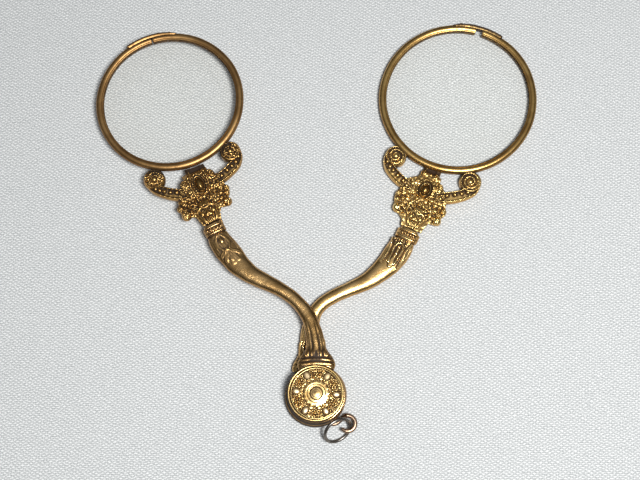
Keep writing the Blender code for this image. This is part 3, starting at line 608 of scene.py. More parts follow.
# collar beads: count each side of the middle, pitch, y from the collar's start, radii, height
COLLAR_BEADS = {"left": (2, 0.86, 1.08, 0.40, 0.40, 0.30),
                "right": (3, 0.68, 1.25, 0.31, 0.34, 0.26)}
# backing strip of mask and bracket: low x, high x, top y
TONGUE = {"left": (-5.3, -1.4, 58.6), "right": (0.7, 4.6, 57.6)}
# hub eye: radius, centre in the row, z span in the row
EYE_R = {"left": 6.62, "right": 6.80}
EYE_AT = {"left": (0.0, 0.0), "right": (-0.30, -0.10)}
EYE_Z = {"left": (3.70, 5.30), "right": (1.75, 3.30)}
BORE = 1.56  # radius of the pivot hole


def left_panel_relief(sheet):
    """Stalk, palmette and long leaves on the left arm's panel."""
    ys, xs, _ = zip(*ARM["left"])
    sheet.ridge([(float(np.interp(41.7, ys, xs)), 41.7, 0.7),
                 (float(np.interp(38.2, ys, xs)) + 0.1, 38.2, 1.0)], 0.5, 0.20)
    sheet.dome(-3.72, 40.45, 0.62, 0.62, 0.34)
    # palmette: a fan of petals opening towards the hub
    root = (-3.45, 38.2)
    for tip_x, tip_y, radius in ((-5.25, 36.9, 0.42), (-4.75, 35.5, 0.46), (-3.30, 34.6, 0.55),
                                 (-1.95, 34.9, 0.46), (-1.15, 36.3, 0.42)):
        middle = 0.5 * (root[0] + tip_x), 0.5 * (root[1] + tip_y)
        sheet.ridge([(*root, 0.45), (*middle, 0.9), (tip_x, tip_y, 1.0)], radius * 1.25, 0.20)
        sheet.ridge([(*root, 0.5), (tip_x, tip_y, 0.8)], 0.16, -0.09)
    sheet.dome(-3.25, 35.55, 0.55, 0.75, 0.18)
    for sign in (-1, 1):
        sheet.ridge([(-3.85 + sign * 0.35, 41.9, 0.5), (-3.75 + sign * 1.30, 40.6, 1.0),
                     (-3.60 + sign * 1.45, 39.3, 1.0), (-3.50 + sign * 0.85, 38.2, 0.6)],
                    0.40, 0.24)
        sheet.ridge([(-3.6 + sign * 1.95, 41.3, 0.6), (-3.4 + sign * 2.15, 39.2, 1.0),
                     (-3.1 + sign * 2.1, 37.4, 0.6)], 0.26, 0.15)
    relief = sheet.relief
    relief[:] = np.where(relief > 0, relief * 0.40, relief * 0.5)


def right_panel_relief(sheet):
    """A long bordered tongue with a raised core, between two reeded leaves."""
    sheet.ridge([(1.55, 34.0), (1.60, 36.2), (1.55, 38.0), (1.95, 38.95), (2.60, 39.25),
                 (3.25, 38.95), (3.50, 38.0), (3.30, 36.2), (3.05, 34.0)], 0.27, 0.28)
    sheet.ridge([(2.30, 33.3, 1.1), (2.42, 35.5, 1.0), (2.55, 37.6, 0.8), (2.58, 38.4, 0.6)],
                0.50, 0.30)
    sheet.dome(2.25, 34.3, 0.62, 1.3, 0.20, 4.0)
    for k in range(4):
        sheet.dome(2.53 - 0.04 * k, 38.2 - 0.75 * k, 0.26, 0.26, 0.12)
    for sign, base in ((-1, 0.55), (1, 4.45)):
        sheet.ridge([(base + 0.35 * sign, 40.0, 0.6), (base, 38.2, 1.0),
                     (base - 0.05, 36.0, 1.0), (base - 0.4, 33.6, 0.6)], 0.42, 0.24)
        sheet.ridge([(base - 0.75 * sign, 39.7, 0.5), (base - 0.75 * sign, 37.4, 0.9),
                     (base - 0.9 * sign - 0.3, 34.2, 0.6)], 0.22, 0.14)
    for k in range(5):
        sheet.ridge([(1.2 + 0.62 * k, 39.55, 0.7), (1.35 + 0.55 * k, 40.2, 1.0)], 0.24, 0.22)


def stem_solid(side, sheet, from_pivot, facing):
    x, y, relief = sheet.x, sheet.y, sheet.relief
    start = [(*to_leaf(side, SHOULDER_X[side][k], row_y), width)
             for k, row_y, width in ((1, 6.2, 4.3), (4, 8.6, 4.2), (-1, 10.6, 4.1))]
    stations = [(mid_x, mid_y, width) for mid_y, mid_x, width in ARM[side]]
    off, width, _ = trace(x, y, catmull(start + stations, 8))
    share = off / (width / 2.0)

    # reeds running out of the shoulder and dying away along the stem
    reach = smoothstep(7.0, 8.6, from_pivot) * (1.0 - smoothstep(11.0, 17.5, from_pivot))
    inside = smoothstep(1.02, 0.80, share)
    relief -= inside * reach * 0.36 * (bell(off - 0.78, 0.22) + 0.6 * bell(off - 1.52, 0.15))
    relief += inside * reach * 0.08 * bell(off, 0.42)
    # sunk panel below the collar, with a raised border
    low, depth = PANEL[side]
    high = NECK[side]["y0"]
    panel = smoothstep(low, low + 4.0, y) * (1.0 - smoothstep(high - 0.15, high + 0.05, y))
    edge = np.clip(share, 0, 1.2)
    relief -= panel * depth * smoothstep(0.88, 0.66, edge)
    relief += panel * 0.05 * bell(edge - 0.86, 0.09)
    if side == "left":
        left_panel_relief(sheet)
    else:
        right_panel_relief(sheet)
    # gentle hand-finished unevenness everywhere
    relief += 0.018 * np.sin(1.9 * x + 0.7 * y) * np.sin(1.3 * y - 0.5 * x)

    solid = power_oval(share, sheet.z, ARM_HALF_HEIGHT, 2.3) - 1.0
    solid = solid * lift(np.minimum(width / 2.0, ARM_HALF_HEIGHT)) - lift(relief) * facing
    return soft_max(solid, lift(y - ARM[side][-1][0]), 0.2)


def shoulder_solid(side, row_x, row_y, z, facing):
    """The swelling above the hub with its turned mouldings and calyx."""
    ys, halves = zip(*SHOULDER)
    half = np.interp(row_y, ys, halves)
    off = row_x - np.interp(row_y, ys, SHOULDER_X[side])
    share = np.abs(off) / half
    arc = np.hypot(off * 0.55, row_y)
    relief = np.zeros_like(off)
    for radius, width, height in ((6.62, 0.42, 0.13), (7.48, 0.36, 0.11)):
        relief += height * cap(((arc - radius) / width) ** 2, 0.9)
    relief -= 0.09 * bell(arc - 7.06, 0.14) + 0.10 * bell(arc - 7.95, 0.16)
    # calyx leaves: offset from the middle, tilt, length
    for place, tilt, length in ((-2.35, 20, 1.15), (-0.80, 4, 1.00), (0.85, -6, 1.05),
                                (2.45, -20, 1.20)):
        across, up = turned(off - place * np.interp(row_y, [8.0, 10.0], [1.0, 0.72]),
                            row_y - 8.85, math.radians(tilt))
        squared = (across / 0.68) ** 2 + (up / length) ** 2
        relief += 0.24 * cap(squared, 0.8)
        relief -= 0.09 * bell(across, 0.14) * cap(squared)
    half_height = lift(ARM_HALF_HEIGHT - 0.08 - 0.50 * smoothstep(9.0, 11.0, row_y))
    solid = (power_oval(share, z, half_height, 2.6) - 1.0) * lift(
        np.minimum(half, ARM_HALF_HEIGHT))
    solid = solid - lift(relief * smoothstep(1.04, 0.72, share)) * facing
    return soft_max(solid, lift(beyond(row_y, 5.3, 11.9)), 0.2)


def eye_solid(side, row_x, row_y, z, low, high):
    """Hub eye with a softly rounded edge and two turned lines round it."""
    centre_x, centre_y = EYE_AT[side]
    radius = np.hypot(row_x - centre_x, row_y - centre_y)
    part = (z - low) / (high - low)
    lean = (0.30 if side == "left" else 0.22) * np.clip(part, 0.0, 1.0) ** 1.6
    groove = 0.07 * bell(part - 0.34, 0.07) + 0.07 * bell(part - 0.72, 0.06)
    return soft_max(lift(radius - EYE_R[side]) + groove + lean, beyond(z, low, high), 0.22)


def drum_shade(x, y):
    """1 on the side of the drum away from the light, which takes painted shade; 0 on the lit
    side.
    """
    return smoothstep(-0.25, 0.45, (-0.86 * x - 0.51 * y) / (np.hypot(x, y) + 1e-6))


def build_arm(side):
    xs = [station[1] for station in ARM[side]]
    low_x, high_x, top = TONGUE[side]
    sheet = Sheet((min(min(xs) - 3.2, -7.4), max(max(xs) + 3.2, 7.4)), (-7.3, top + 0.4),
                  (-1.7, 1.75), 0.10)
    x, y, z = sheet.x, sheet.y, sheet.z
    row_x, row_y = to_row(side, x, y)
    from_pivot = np.hypot(row_x, row_y)
    facing = np.where(z >= 0.0, 1.0, 0.75)  # relief is shallower underneath

    solid = stem_solid(side, sheet, from_pivot, facing)
    solid = soft_min(solid, shoulder_solid(side, row_x, row_y, z, facing), 0.22)
    # room above the left eye for the bezel, and below the right eye for the rear cap
    low, high = (value - MID_Z[side] for value in EYE_Z[side])
    if side == "left":
        room = np.maximum(lift(from_pivot - 6.30), high - z)
    else:
        room = np.maximum(lift(from_pivot - 6.45), z - low)
    solid = soft_max(solid, -room, 0.06)
    solid = soft_min(solid, eye_solid(side, row_x, row_y, z, low, high), 0.05)

    # neck under the collar, and the strip that backs the mask and bracket
    neck = NECK[side]
    core = (power_oval((x - neck["x"]) / (neck["width"] / 2.0), z, 1.15, 2.4) - 1.0) * 1.15
    core = np.maximum(core, lift(beyond(y, neck["y0"] - 0.6, neck["y1"])))
    strip = lift(np.maximum(beyond(x, low_x, high_x), beyond(y, neck["y1"] - 0.4, top)))
    strip = soft_max(strip, beyond(z, -1.15, -0.45), 0.15)
    solid = np.minimum(solid, np.minimum(core, strip))
    solid = np.maximum(solid, np.abs(z) - 1.46)
    solid = np.maximum(solid, BORE - lift(from_pivot))
    arm = cast_piece(side + "_arm_cast", solid, sheet.grid, on_leaf(side, "arm"), side)

    def weight(x, y, z):
        # stem: the left panel a little darker; shoulder: darker over the shoulder; drum: painted
        # shade on the drum's side away from the light
        along = to_leaf(side, x, y)[1]
        stem = 0.0
        if side == "left":
            stem = 0.055 * smoothstep(33.5, 36.0, along) * smoothstep(42.8, 42.5, along)
        radius = np.hypot(x, y)
        shoulder = 0.205 * np.exp(-(((x - 0.2) / 5.0) ** 2 + ((y - 8.0) / 2.0) ** 2))
        drum = (0.26 * drum_shade(x, y) * smoothstep(5.7, 6.3, radius)
                * smoothstep(7.4, 6.9, radius) * smoothstep(6.5, 5.0, y))
        return stem + shoulder + drum

    tarnish_and_painted_light(arm, weight)


def build_collar(side):
    neck = NECK[side]
    mid = neck["x"]
    start, end = neck["collar"]
    half = neck["outer"] / 2.0
    sheet = Sheet((mid - half - 0.4, mid + half + 0.4), (start - 0.3, end + 0.3),
                  (-1.75, 1.76), 0.06)
    x, y, z, relief = sheet.x, sheet.y, sheet.z, sheet.relief
    across = (x - mid) / (half - 0.04)
    part = (y - start) / (end - start)
    # a moulding at each end, each with a groove beside it
    relief += 0.20 * cap(((part - 0.10) / 0.12) ** 2, 0.6)
    relief += 0.17 * cap(((part - 0.90) / 0.11) ** 2, 0.6)
    relief -= 0.06 * bell(part - 0.30, 0.05) + 0.05 * bell(part - 0.76, 0.05)
    count, pitch, bead_y, x_radius, y_radius, height = COLLAR_BEADS[side]
    for k in range(-count, count + 1):
        sheet.dome(mid + 0.02 + pitch * k, start + bead_y, x_radius, y_radius, height)
    if side == "right":
        sheet.ridge([(mid - 1.5, start + 0.62), (mid + 1.5, start + 0.62)], 0.22, 0.16)
    relief *= smoothstep(1.02, 0.70, np.abs(across))
    solid = (power_oval(across, z, 1.30, 2.4) - 1.0) * 1.3 - 0.9 * lift(relief)
    solid = soft_max(solid, lift(beyond(y, start, end)), 0.12)
    solid = np.maximum(solid, np.abs(z) - 1.50)
    hole = power_oval((x - mid) / (neck["width"] / 2.0 + 0.05), z, 1.20, 2.4)
    solid = np.maximum(solid, -(hole - 1.0) * 1.15)
    cast_piece(side + "_collar_beaded", solid, sheet.grid, on_leaf(side, "collar"), side)


# ------------------------------------------------------------------ masks
# outline: x, y; centre and scale of the face; balls and lobes: x, y, radius;
# grain: cell, height, seed
MASK = {
    "left": dict(
        outline=[(-5.9, 45.3), (-1.3, 45.3), (-0.9, 46.8), (-0.3, 47.6), (0.8, 47.3),
                 (1.7, 47.1), (2.6, 48.0), (2.4, 49.2), (3.2, 50.4), (3.4, 51.6), (2.7, 52.5),
                 (-8.8, 52.5), (-9.6, 51.8), (-9.2, 50.6), (-9.5, 49.6), (-9.2, 48.6),
                 (-8.3, 48.1), (-7.2, 48.4), (-6.5, 48.0), (-6.2, 46.6)],
        centre=(-3.5, 48.15), scale=1.0, balls=[(-8.3, 49.3, 1.08), (1.6, 48.25, 1.0)],
        lobes=[(-8.9, 51.4, 0.75), (-7.5, 51.9, 0.70), (-8.0, 50.6, 0.65), (-6.7, 50.9, 0.66),
               (-6.9, 49.5, 0.62), (2.7, 51.4, 0.70), (1.5, 52.0, 0.66), (2.3, 50.2, 0.66),
               (1.0, 50.8, 0.64), (0.6, 49.5, 0.62), (-0.1, 51.9, 0.60), (-6.3, 52.0, 0.55),
               (-4.9, 52.35, 0.50), (-0.9, 52.45, 0.50), (-8.2, 52.7, 0.55),
               (0.6, 52.85, 0.5)],
        grain=(0.66, 0.20, 3.0)),
    "right": dict(
        outline=[(0.5, 43.4), (5.6, 43.4), (5.9, 45.0), (6.3, 46.2), (7.6, 46.4), (8.7, 47.3),
                 (8.5, 48.6), (9.0, 49.7), (8.8, 50.7), (8.3, 51.4), (-3.0, 51.4),
                 (-3.7, 50.4), (-3.6, 49.0), (-3.1, 47.9), (-3.0, 46.6), (-2.2, 45.6),
                 (-1.0, 45.6), (0.1, 44.8)],
        centre=(3.0, 46.35), scale=0.86, balls=[(7.75, 47.5, 0.98), (-1.95, 46.8, 0.98)],
        lobes=[(8.2, 50.2, 0.72), (7.0, 50.8, 0.66), (7.4, 49.0, 0.70), (6.3, 49.4, 0.62),
               (6.7, 47.6, 0.58), (-2.9, 50.0, 0.70), (-1.8, 50.7, 0.66), (-2.7, 48.6, 0.66),
               (-1.5, 49.3, 0.64), (-0.6, 50.4, 0.60), (-1.0, 47.9, 0.62), (-0.6, 46.4, 0.60),
               (5.9, 50.7, 0.6), (2.9, 49.75, 0.85), (1.3, 50.6, 0.6), (4.5, 50.7, 0.6),
               (0.2, 51.5, 0.5), (5.3, 51.7, 0.5), (7.6, 51.6, 0.5), (-2.3, 51.5, 0.5)],
        grain=(0.95, 0.16, 5.0)),
}


def beast_face(sheet, centre_x, centre_y, scale):
    """A lion-like face: bulging brow, deep small eyes, broad nose, muzzle and beard locks."""
    def dome(x, y, x_radius, y_radius, height, degrees=0.0, power=0.7):
        sheet.dome(centre_x + x * scale, centre_y + y * scale, x_radius * scale,
                   y_radius * scale, height, degrees, power)

    def ridge(points, radius, height):
        sheet.ridge([(centre_x + x * scale, centre_y + y * scale, width)
                     for x, y, width in points], radius * scale, height)

    dome(0.0, 0.1, 2.20, 3.0, 0.52, power=0.55)
    for j in range(-3, 4):  # forehead locks
        ridge([(j * 0.30, 1.55, 0.6), (j * 0.48, 2.35, 1.0),
               (j * 0.74, 3.10 - 0.05 * j * j, 0.8)], 0.30, 0.26)
    dome(0.0, 1.75, 0.50, 0.45, 0.16)
    dome(0.0, -1.0, 1.20, 1.10, 0.22)
    for s in (-1, 1):
        # brow, eye socket, eye, cheek, muzzle, nostril, outer and inner side locks
        ridge([(s * 1.95, 0.95, 0.7), (s * 1.15, 1.42, 1.1), (s * 0.32, 1.02, 0.9)], 0.34, 0.27)
        dome(s * 0.98, 0.58, 0.58, 0.36, -0.36, 10 * s)
        dome(s * 0.98, 0.58, 0.26, 0.20, 0.24)
        dome(s * 1.45, -0.10, 0.50, 0.60, 0.20)
        dome(s * 0.56, -0.88, 0.72, 0.56, 0.40, 22 * s)
        dome(s * 0.26, -0.36, 0.15, 0.11, -0.16)
        ridge([(s * 1.95, 1.75, 0.7), (s * 2.35, 0.4, 1.0), (s * 2.02, -1.05, 1.0),
               (s * 1.45, -2.5, 0.6)], 0.32, 0.36)
        ridge([(s * 1.62, -0.6, 0.6), (s * 1.48, -1.6, 1.0), (s * 0.98, -2.9, 0.6)], 0.27, 0.30)
    # nose, mouth, lower lip
    ridge([(0.0, 1.10, 0.6), (0.0, 0.05, 0.9), (0.0, -0.38, 1.4)], 0.31, 0.34)
    ridge([(-0.62, -1.38, 0.8), (0.0, -1.22, 1.0), (0.62, -1.38, 0.8)], 0.16, -0.22)
    dome(0.0, -1.62, 0.46, 0.24, 0.20)
    for j in range(-2, 3):  # beard
        ridge([(j * 0.42, -1.85, 1.0), (j * 0.35, -2.5, 1.0), (j * 0.22, -3.25, 0.6)], 0.21, 0.28)
    for j in range(-3, 4):  # row of curls over the forehead
        dome(j * 0.76, 3.62 - 0.075 * j * j, 0.42, 0.40, 0.32)


def strip_slot(side, sheet):
    """The space the arm's backing strip takes up behind the mask and bracket."""
    low, high, top = TONGUE[side]
    plan = np.maximum(beyond(sheet.x, low - 0.08, high + 0.08), sheet.y - top - 0.6)
    return np.maximum(lift(plan), sheet.z + 0.37)


def build_mask(side):
    data = MASK[side]
    xs, ys = zip(*data["outline"])
    sheet = Sheet((min(xs) - 0.7, max(xs) + 0.7), (min(ys) - 0.4, max(ys) + 1.1),
                  (-1.30, 1.75), 0.07)
    x, y = sheet.x, sheet.y
    outline = polygon(x, y, data["outline"]) + 0.10
    for rounds, blend in ((data["balls"], 0.15), (data["lobes"], 0.12)):
        for at_x, at_y, radius in rounds:
            outline = soft_min(outline, np.hypot(x - at_x, y - at_y) - radius, blend)
    outline = np.maximum(outline, min(ys) - y)
    centre_x, centre_y = data["centre"]
    ground = smoothstep(2.2, 2.9, np.hypot(x - centre_x, (y - centre_y) * 0.72))
    sheet.relief += 0.22
    sheet.grain(ground, *data["grain"])
    for k, (at_x, at_y, radius) in enumerate(data["lobes"]):
        sheet.dome(at_x, at_y, radius, radius, 0.40)
        for j in range(5):
            angle = 2.0 * math.pi * (j / 5.0) + 0.7 * k
            sheet.dome(at_x + 0.58 * radius * math.cos(angle),
                       at_y + 0.58 * radius * math.sin(angle), 0.20, 0.20, 0.12)
        sheet.dome(at_x, at_y, 0.22, 0.22, 0.14)
    for at_x, at_y, radius in data["balls"]:
        sheet.dome(at_x, at_y, radius * 1.02, radius * 1.02, 0.95, power=0.5)
    for sign in (-1, 1):
        for j in range(3):  # leaf ribs from the face out to the lobes
            angle = math.radians(18 + 24 * j)
            sheet.ridge([(centre_x + sign * reach * math.cos(angle),
                          centre_y + 0.1 + reach * math.sin(angle) * 0.8, width)
                         for reach, width in ((2.6, 0.7), (4.9 - 0.3 * j, 1.0))], 0.26, 0.22)
    if side == "right":  # a curved lock down each side of the face
        sheet.ridge([(4.7, 50.1, 0.6), (5.55, 49.2, 1.0), (5.80, 48.0, 1.1), (5.30, 46.6, 0.6)],
                    0.44, 0.42)
        sheet.ridge([(1.2, 50.0, 0.6), (0.40, 49.0, 1.0), (0.25, 47.8, 1.1), (0.75, 46.5, 0.6)],
                    0.42, 0.38)
    beast_face(sheet, centre_x, centre_y, data["scale"])
    solid = slab(sheet, outline, top=np.minimum(sheet.relief, 1.62), bottom=-0.33, soft=0.22)
    solid = np.maximum(solid, -strip_slot(side, sheet))
    cast = cast_piece(side + "_mask_cast", solid, sheet.grid,
                      on_leaf(side, "mask", material="cast_" + side), side)

    def rubbed(x, y, z):
        leaf_x, leaf_y = to_leaf(side, x, y)
        return -0.22 * sum(smoothstep(1.0, 0.5, np.hypot(leaf_x - at_x, leaf_y - at_y))
                           for at_x, at_y, _ in data["balls"])

    tarnish_and_painted_light(cast, rubbed)


# ------------------------------------------------------------------ scroll brackets
# head: outline x, y; volutes: x, y, radius, coil direction; arms: x, y, half width;
# beads: x, y; lobes: x, y, radius; cabochon: x, y, x radius, y radius; crown: x, y;
# post: y span over which the head turns into the plain post; ground: reach from the
# cabochon at which the grain starts, then its cell, height and seed; strips: x of the
# ridges on the post; sink: height lost towards the rim and the y span it happens over;
# coil: relief of the volutes' coil and of their grain; rim_shadow: painted shadow beside the rim
BRACKET = {
    "left": dict(
        head=[(-8.0, 52.25), (2.9, 52.25), (2.6, 54.2), (1.7, 56.1), (0.7, 57.4), (0.5, 60.5),
              (-4.2, 60.5), (-4.3, 57.7), (-5.6, 57.1), (-6.8, 56.0), (-7.9, 54.4)],
        volutes=[(-11.2, 60.5, 2.50, 1), (7.2, 58.8, 2.38, -1)],
        arms=[[(-12.9, 59.9, 0.70), (-12.1, 58.6, 1.05), (-10.9, 57.3, 1.30),
               (-9.1, 55.7, 1.38), (-7.2, 54.5, 1.38), (-5.4, 53.9, 1.20)],
              [(8.9, 58.2, 0.70), (8.3, 56.9, 1.05), (7.0, 55.6, 1.25), (5.2, 54.8, 1.30),
               (3.2, 54.2, 1.30), (1.2, 53.9, 1.15)]],
        beads=[[(-11.9, 58.3), (-11.2, 57.55), (-10.35, 56.85), (-9.2, 56.05), (-7.9, 55.3),
                (-6.9, 54.5), (-6.0, 53.5)],
               [(8.35, 56.75), (7.3, 55.85), (6.1, 55.4), (4.6, 54.95), (3.0, 54.35),
                (1.6, 53.5)]],
        lobes=[(-5.35, 55.95, 1.35), (0.45, 56.0, 1.35), (-6.5, 54.6, 0.9), (1.9, 54.6, 0.9)],
        cabochon=(-2.42, 54.80, 0.90, 1.55), crown=(-2.7, 52.45), post=(57.6, 58.4),
        ground=(1.35, 0.52, 0.18, 11.0), strips=(-3.55, -0.45), sink=(0.40, 56.7, 58.4),
        coil=(0.11, 0.24), rim_shadow=0.26),
    "right": dict(
        head=[(-3.2, 51.15), (8.3, 51.15), (7.9, 53.2), (6.6, 54.8), (5.0, 55.9), (4.1, 57.6),
              (4.0, 59.5), (-0.2, 59.5), (-0.1, 57.0), (-0.7, 55.5), (-2.2, 54.6),
              (-3.4, 53.4)],
        volutes=[(10.9, 59.3, 2.55, -1), (-7.2, 57.85, 2.45, 1)],
        arms=[[(12.8, 58.8, 0.70), (12.3, 57.6, 1.05), (11.0, 56.2, 1.30), (9.2, 54.7, 1.38),
               (7.4, 53.6, 1.38), (5.8, 52.9, 1.20)],
              [(-9.0, 57.3, 0.70), (-8.5, 56.2, 1.05), (-7.3, 54.8, 1.25), (-5.4, 53.7, 1.32),
               (-3.6, 53.0, 1.32), (-1.8, 52.6, 1.15)]],
        beads=[[(12.35, 57.75), (11.35, 56.75), (10.25, 55.9), (8.85, 55.0), (7.4, 54.1),
                (6.1, 53.2)],
               [(-8.35, 55.85), (-7.4, 55.0), (-6.35, 54.45), (-4.85, 53.75), (-3.25, 53.1),
                (-2.0, 52.4)]],
        lobes=[(4.9, 54.9, 1.15), (-0.6, 54.3, 1.15), (3.3, 57.0, 0.75), (0.4, 56.9, 0.75),
               (6.4, 53.3, 0.8)],
        cabochon=(2.28, 53.20, 1.00, 1.35), crown=(2.55, 51.5), post=(56.9, 57.7),
        ground=(1.70, 0.85, 0.15, 13.0), strips=(0.55, 3.20), sink=(0.34, 56.6, 58.2),
        coil=(0.19, 0.09), rim_shadow=0.16),
}
RIM_OUT = {"left": 17.15, "right": 18.52}  # outer radius of the rim


def bracket_head(side, sheet):
    """Head plate with leafy lobes round the cabochon's collet."""
    data = BRACKET[side]
    x, y, relief = sheet.x, sheet.y, sheet.relief
    outline = polygon(x, y, data["head"]) + 0.05
    for at_x, at_y, radius in data["lobes"]:
        outline = soft_min(outline, np.hypot(x - at_x, y - at_y) - radius, 0.2)
    outline = np.maximum(outline, data["head"][0][1] - y)
    mid_x, mid_y, x_radius, y_radius = data["cabochon"]
    reach = (np.abs((x - mid_x) / x_radius) ** 2.0
             + np.abs((y - mid_y) / y_radius) ** 1.8) ** 0.5
    relief += 0.42 + 0.10 * bell(x - mid_x, 2.4)
    post = smoothstep(*data["post"], y)
    clear, *grain = data["ground"]
    sheet.grain((1.0 - post) * (reach > clear), *grain)
    for at_x, at_y, radius in data["lobes"]:
        sheet.dome(at_x, at_y, radius, radius, 0.32)
        out = math.atan2(at_y - mid_y, at_x - mid_x)
        root = (at_x - 0.3 * radius * math.cos(out), at_y - 0.3 * radius * math.sin(out), 0.5)
        for j in range(-2, 3):
            cos, sin = math.cos(out + 0.42 * j), math.sin(out + 0.42 * j)
            tip = (at_x + 0.92 * radius * cos, at_y + 0.92 * radius * sin, 1.0)
            sheet.ridge([root, tip], 0.21, 0.20)
            sheet.dome(at_x + 0.80 * radius * cos, at_y + 0.80 * radius * sin, 0.24, 0.24, 0.14)
    # collet: rims and a groove round the cabochon
    relief += 0.42 * bell(reach - 1.19, 0.12)
    relief -= 0.24 * bell(reach - 1.42, 0.11)
    relief += 0.14 * bell(reach - 1.62, 0.11)
    if side == "right":
        relief += 0.30 * bell(reach - 1.78, 0.13)
    first, second = data["strips"]
    relief += post * (0.26 * bell(x - first, 0.36) + 0.22 * bell(x - second, 0.42) - 0.22)
    depth, start, end = data["sink"]
    relief -= depth * smoothstep(start, end, y)
    crown_x, crown_y = data["crown"]
    sheet.dome(crown_x, crown_y + 0.45, 0.72, 0.60, 0.50)
    for s in (-1, 1):
        sheet.dome(crown_x + s * 1.05, crown_y + 0.55, 0.46, 0.42, 0.36)
        sheet.dome(crown_x + s * 1.85, crown_y + 0.75, 0.40, 0.40, 0.30)
        sheet.ridge([(mid_x + s * 1.75, mid_y - 1.7, 0.7), (mid_x + s * 2.15, mid_y + 0.2, 1.0),
                     (mid_x + s * 1.35, mid_y + 2.2, 0.7)], 0.30, 0.26)
    return slab(sheet, outline, top=np.minimum(relief, 1.45), bottom=-0.33, soft=0.22)


def scroll_arm(sheet, path, beads):
    """A channel between raised edges with a row of beads in it."""
    off, half, run = trace(sheet.x, sheet.y, catmull(path, 6))
    share = off / half
    sheet.relief[:] = 0.46 + 0.46 * bell(share - 0.78, 0.14) + 0.03 * np.sin(6.0 * run)
    for x, y in beads:
        sheet.dome(x, y, 0.47, 0.47, 0.52, power=0.5)
    return slab(sheet, off - half, top=np.minimum(sheet.relief, 1.35),
                bottom=-1.02 + 0.22 * np.clip(share, 0, 1.2) ** 3, soft=0.34)


def volute(sheet, x, y, radius, turn, coil_height, grain_height, seed):
    """A coiled ridge round a button, with a granulated floor."""
    reach = np.hypot(sheet.x - x, sheet.y - y)
    angle = np.arctan2(sheet.y - y, sheet.x - x)
    relief, pitch = sheet.relief, 0.86
    coil = np.cos(2.0 * math.pi * (reach / pitch) + turn * angle)
    relief[:] = 0.72 + 0.20 * np.sqrt(cap((reach / (radius * 1.05)) ** 2))
    relief += (coil_height * coil * smoothstep(0.45, 0.8, reach)
               * smoothstep(radius + 0.1, radius - 0.35, reach))
    sheet.dome(x, y, 0.55, 0.55, 0.28)
    sheet.grain((reach > 0.7) * (reach < radius - 0.35), 0.50, grain_height, seed)
    relief += 0.18 * bell(reach - (radius - 0.32), 0.20)
    return slab(sheet, reach - radius, top=np.minimum(relief, 1.38),
                bottom=-1.12 - 0.05 * np.cos(2.0 * math.pi * reach / 1.1), soft=0.42)


def build_bracket(side):
    data = BRACKET[side]
    volutes = data["volutes"]
    sheet = Sheet((min(x - radius for x, _, radius, _ in volutes) - 0.4,
                   max(x + radius for x, _, radius, _ in volutes) + 0.4),
                  (data["head"][0][1] - 0.3,
                   max(y + radius for _, y, radius, _ in volutes) + 0.4), (-1.45, 1.70), 0.07)
    solid = bracket_head(side, sheet)
    for path, beads in zip(data["arms"], data["beads"]):
        solid = soft_min(solid, scroll_arm(sheet, path, beads), 0.10)
    for k, place in enumerate(volutes):
        solid = soft_min(solid, volute(sheet, *place, *data["coil"], 21.0 + k), 0.08)

    # clear the rim, the backing strip and the cabochon
    ring = np.hypot(sheet.x, sheet.y - REACH[side]) - (RIM_OUT[side] + 0.08)
    solid = np.maximum(solid, -lift(ring))
    solid = np.maximum(solid, -strip_slot(side, sheet))
    mid_x, mid_y, x_radius, y_radius = data["cabochon"]
    pocket = np.hypot((sheet.x - mid_x) / (x_radius + 0.06),
                      (sheet.y - mid_y) / (y_radius + 0.06)) - 1.0
    solid = np.maximum(solid, -np.maximum(lift(pocket) * x_radius, 0.56 - sheet.z))
    cast = cast_piece(side + "_scroll_bracket_cast", solid, sheet.grid,
                      on_leaf(side, "scroll_bracket", material="cast_" + side), side)

    def rim_shadow(x, y, z):
        # painted shadow of the rim on the bracket beside it, and darker along the bead channels
        leaf_x, leaf_y = to_leaf(side, x, y)
        gap = np.hypot(leaf_x, leaf_y - REACH[side]) - RIM_OUT[side]
        channel = np.minimum(*[distance(leaf_x, leaf_y, line) for line in data["beads"]])
        return (data["rim_shadow"] * smoothstep(1.9, 0.5, gap)
                + 0.075 * smoothstep(0.80, 0.35, channel))

    tarnish_and_painted_light(cast, rim_shadow)


def build_cabochon(side):
    """A pointed oval drop with a faint ridge."""
    mid_x, mid_y, x_radius, y_radius = BRACKET[side]["cabochon"]
    sheet = Sheet((mid_x - x_radius - 0.2, mid_x + x_radius + 0.2),
                  (mid_y - y_radius - 0.2, mid_y + y_radius + 0.2), (0.45, 1.75), 0.045)
    across, up = (sheet.x - mid_x) / x_radius, (sheet.y - mid_y) / y_radius
    reach = (np.abs(across) ** 2.0 + np.abs(up) ** 1.75) ** 0.5
    sheet.relief += 0.70 + 0.82 * cap(reach ** 2, 0.55)
    sheet.relief += 0.05 * bell(across, 0.16) * (reach < 0.9)
    solid = slab(sheet, (reach - 1.0) * x_radius, top=sheet.relief, bottom=0.62, soft=0.12)
    cast_piece(side + "_cabochon_oval", solid, sheet.grid,
               on_leaf(side, "cabochon", material="cabochon"), side)


# ------------------------------------------------------------------ rims and lenses
OVAL = {"left": (0.12, -0.16), "right": (-0.12, 0.14)}  # out of round, across and along
SPLIT = {"left": (80.0, 80.9), "right": (94.4, 99.7)}  # gap in the rim, degrees
LAP = {"left": (59.8, 101.3), "right": (79.5, 116.9)}  # lap strip's ends, degrees
# lap strip's thin tip: thickness share, degrees it thins over, width share
LAP_TIP = {"left": (0.30, 14.0, 0.72), "right": (0.34, 12.0, 0.78)}
RIM_HALF = 0.90  # half the rim's radial depth
# lip inside the channel and lens groove: radius from the rim's outside, height
RIM_LIP = [(-1.45, 0.86), (-1.50, 0.74), (-1.62, 0.73), (-1.74, 0.66), (-1.79, 0.52),
           (-1.30, 0.44), (-1.22, 0.30)]
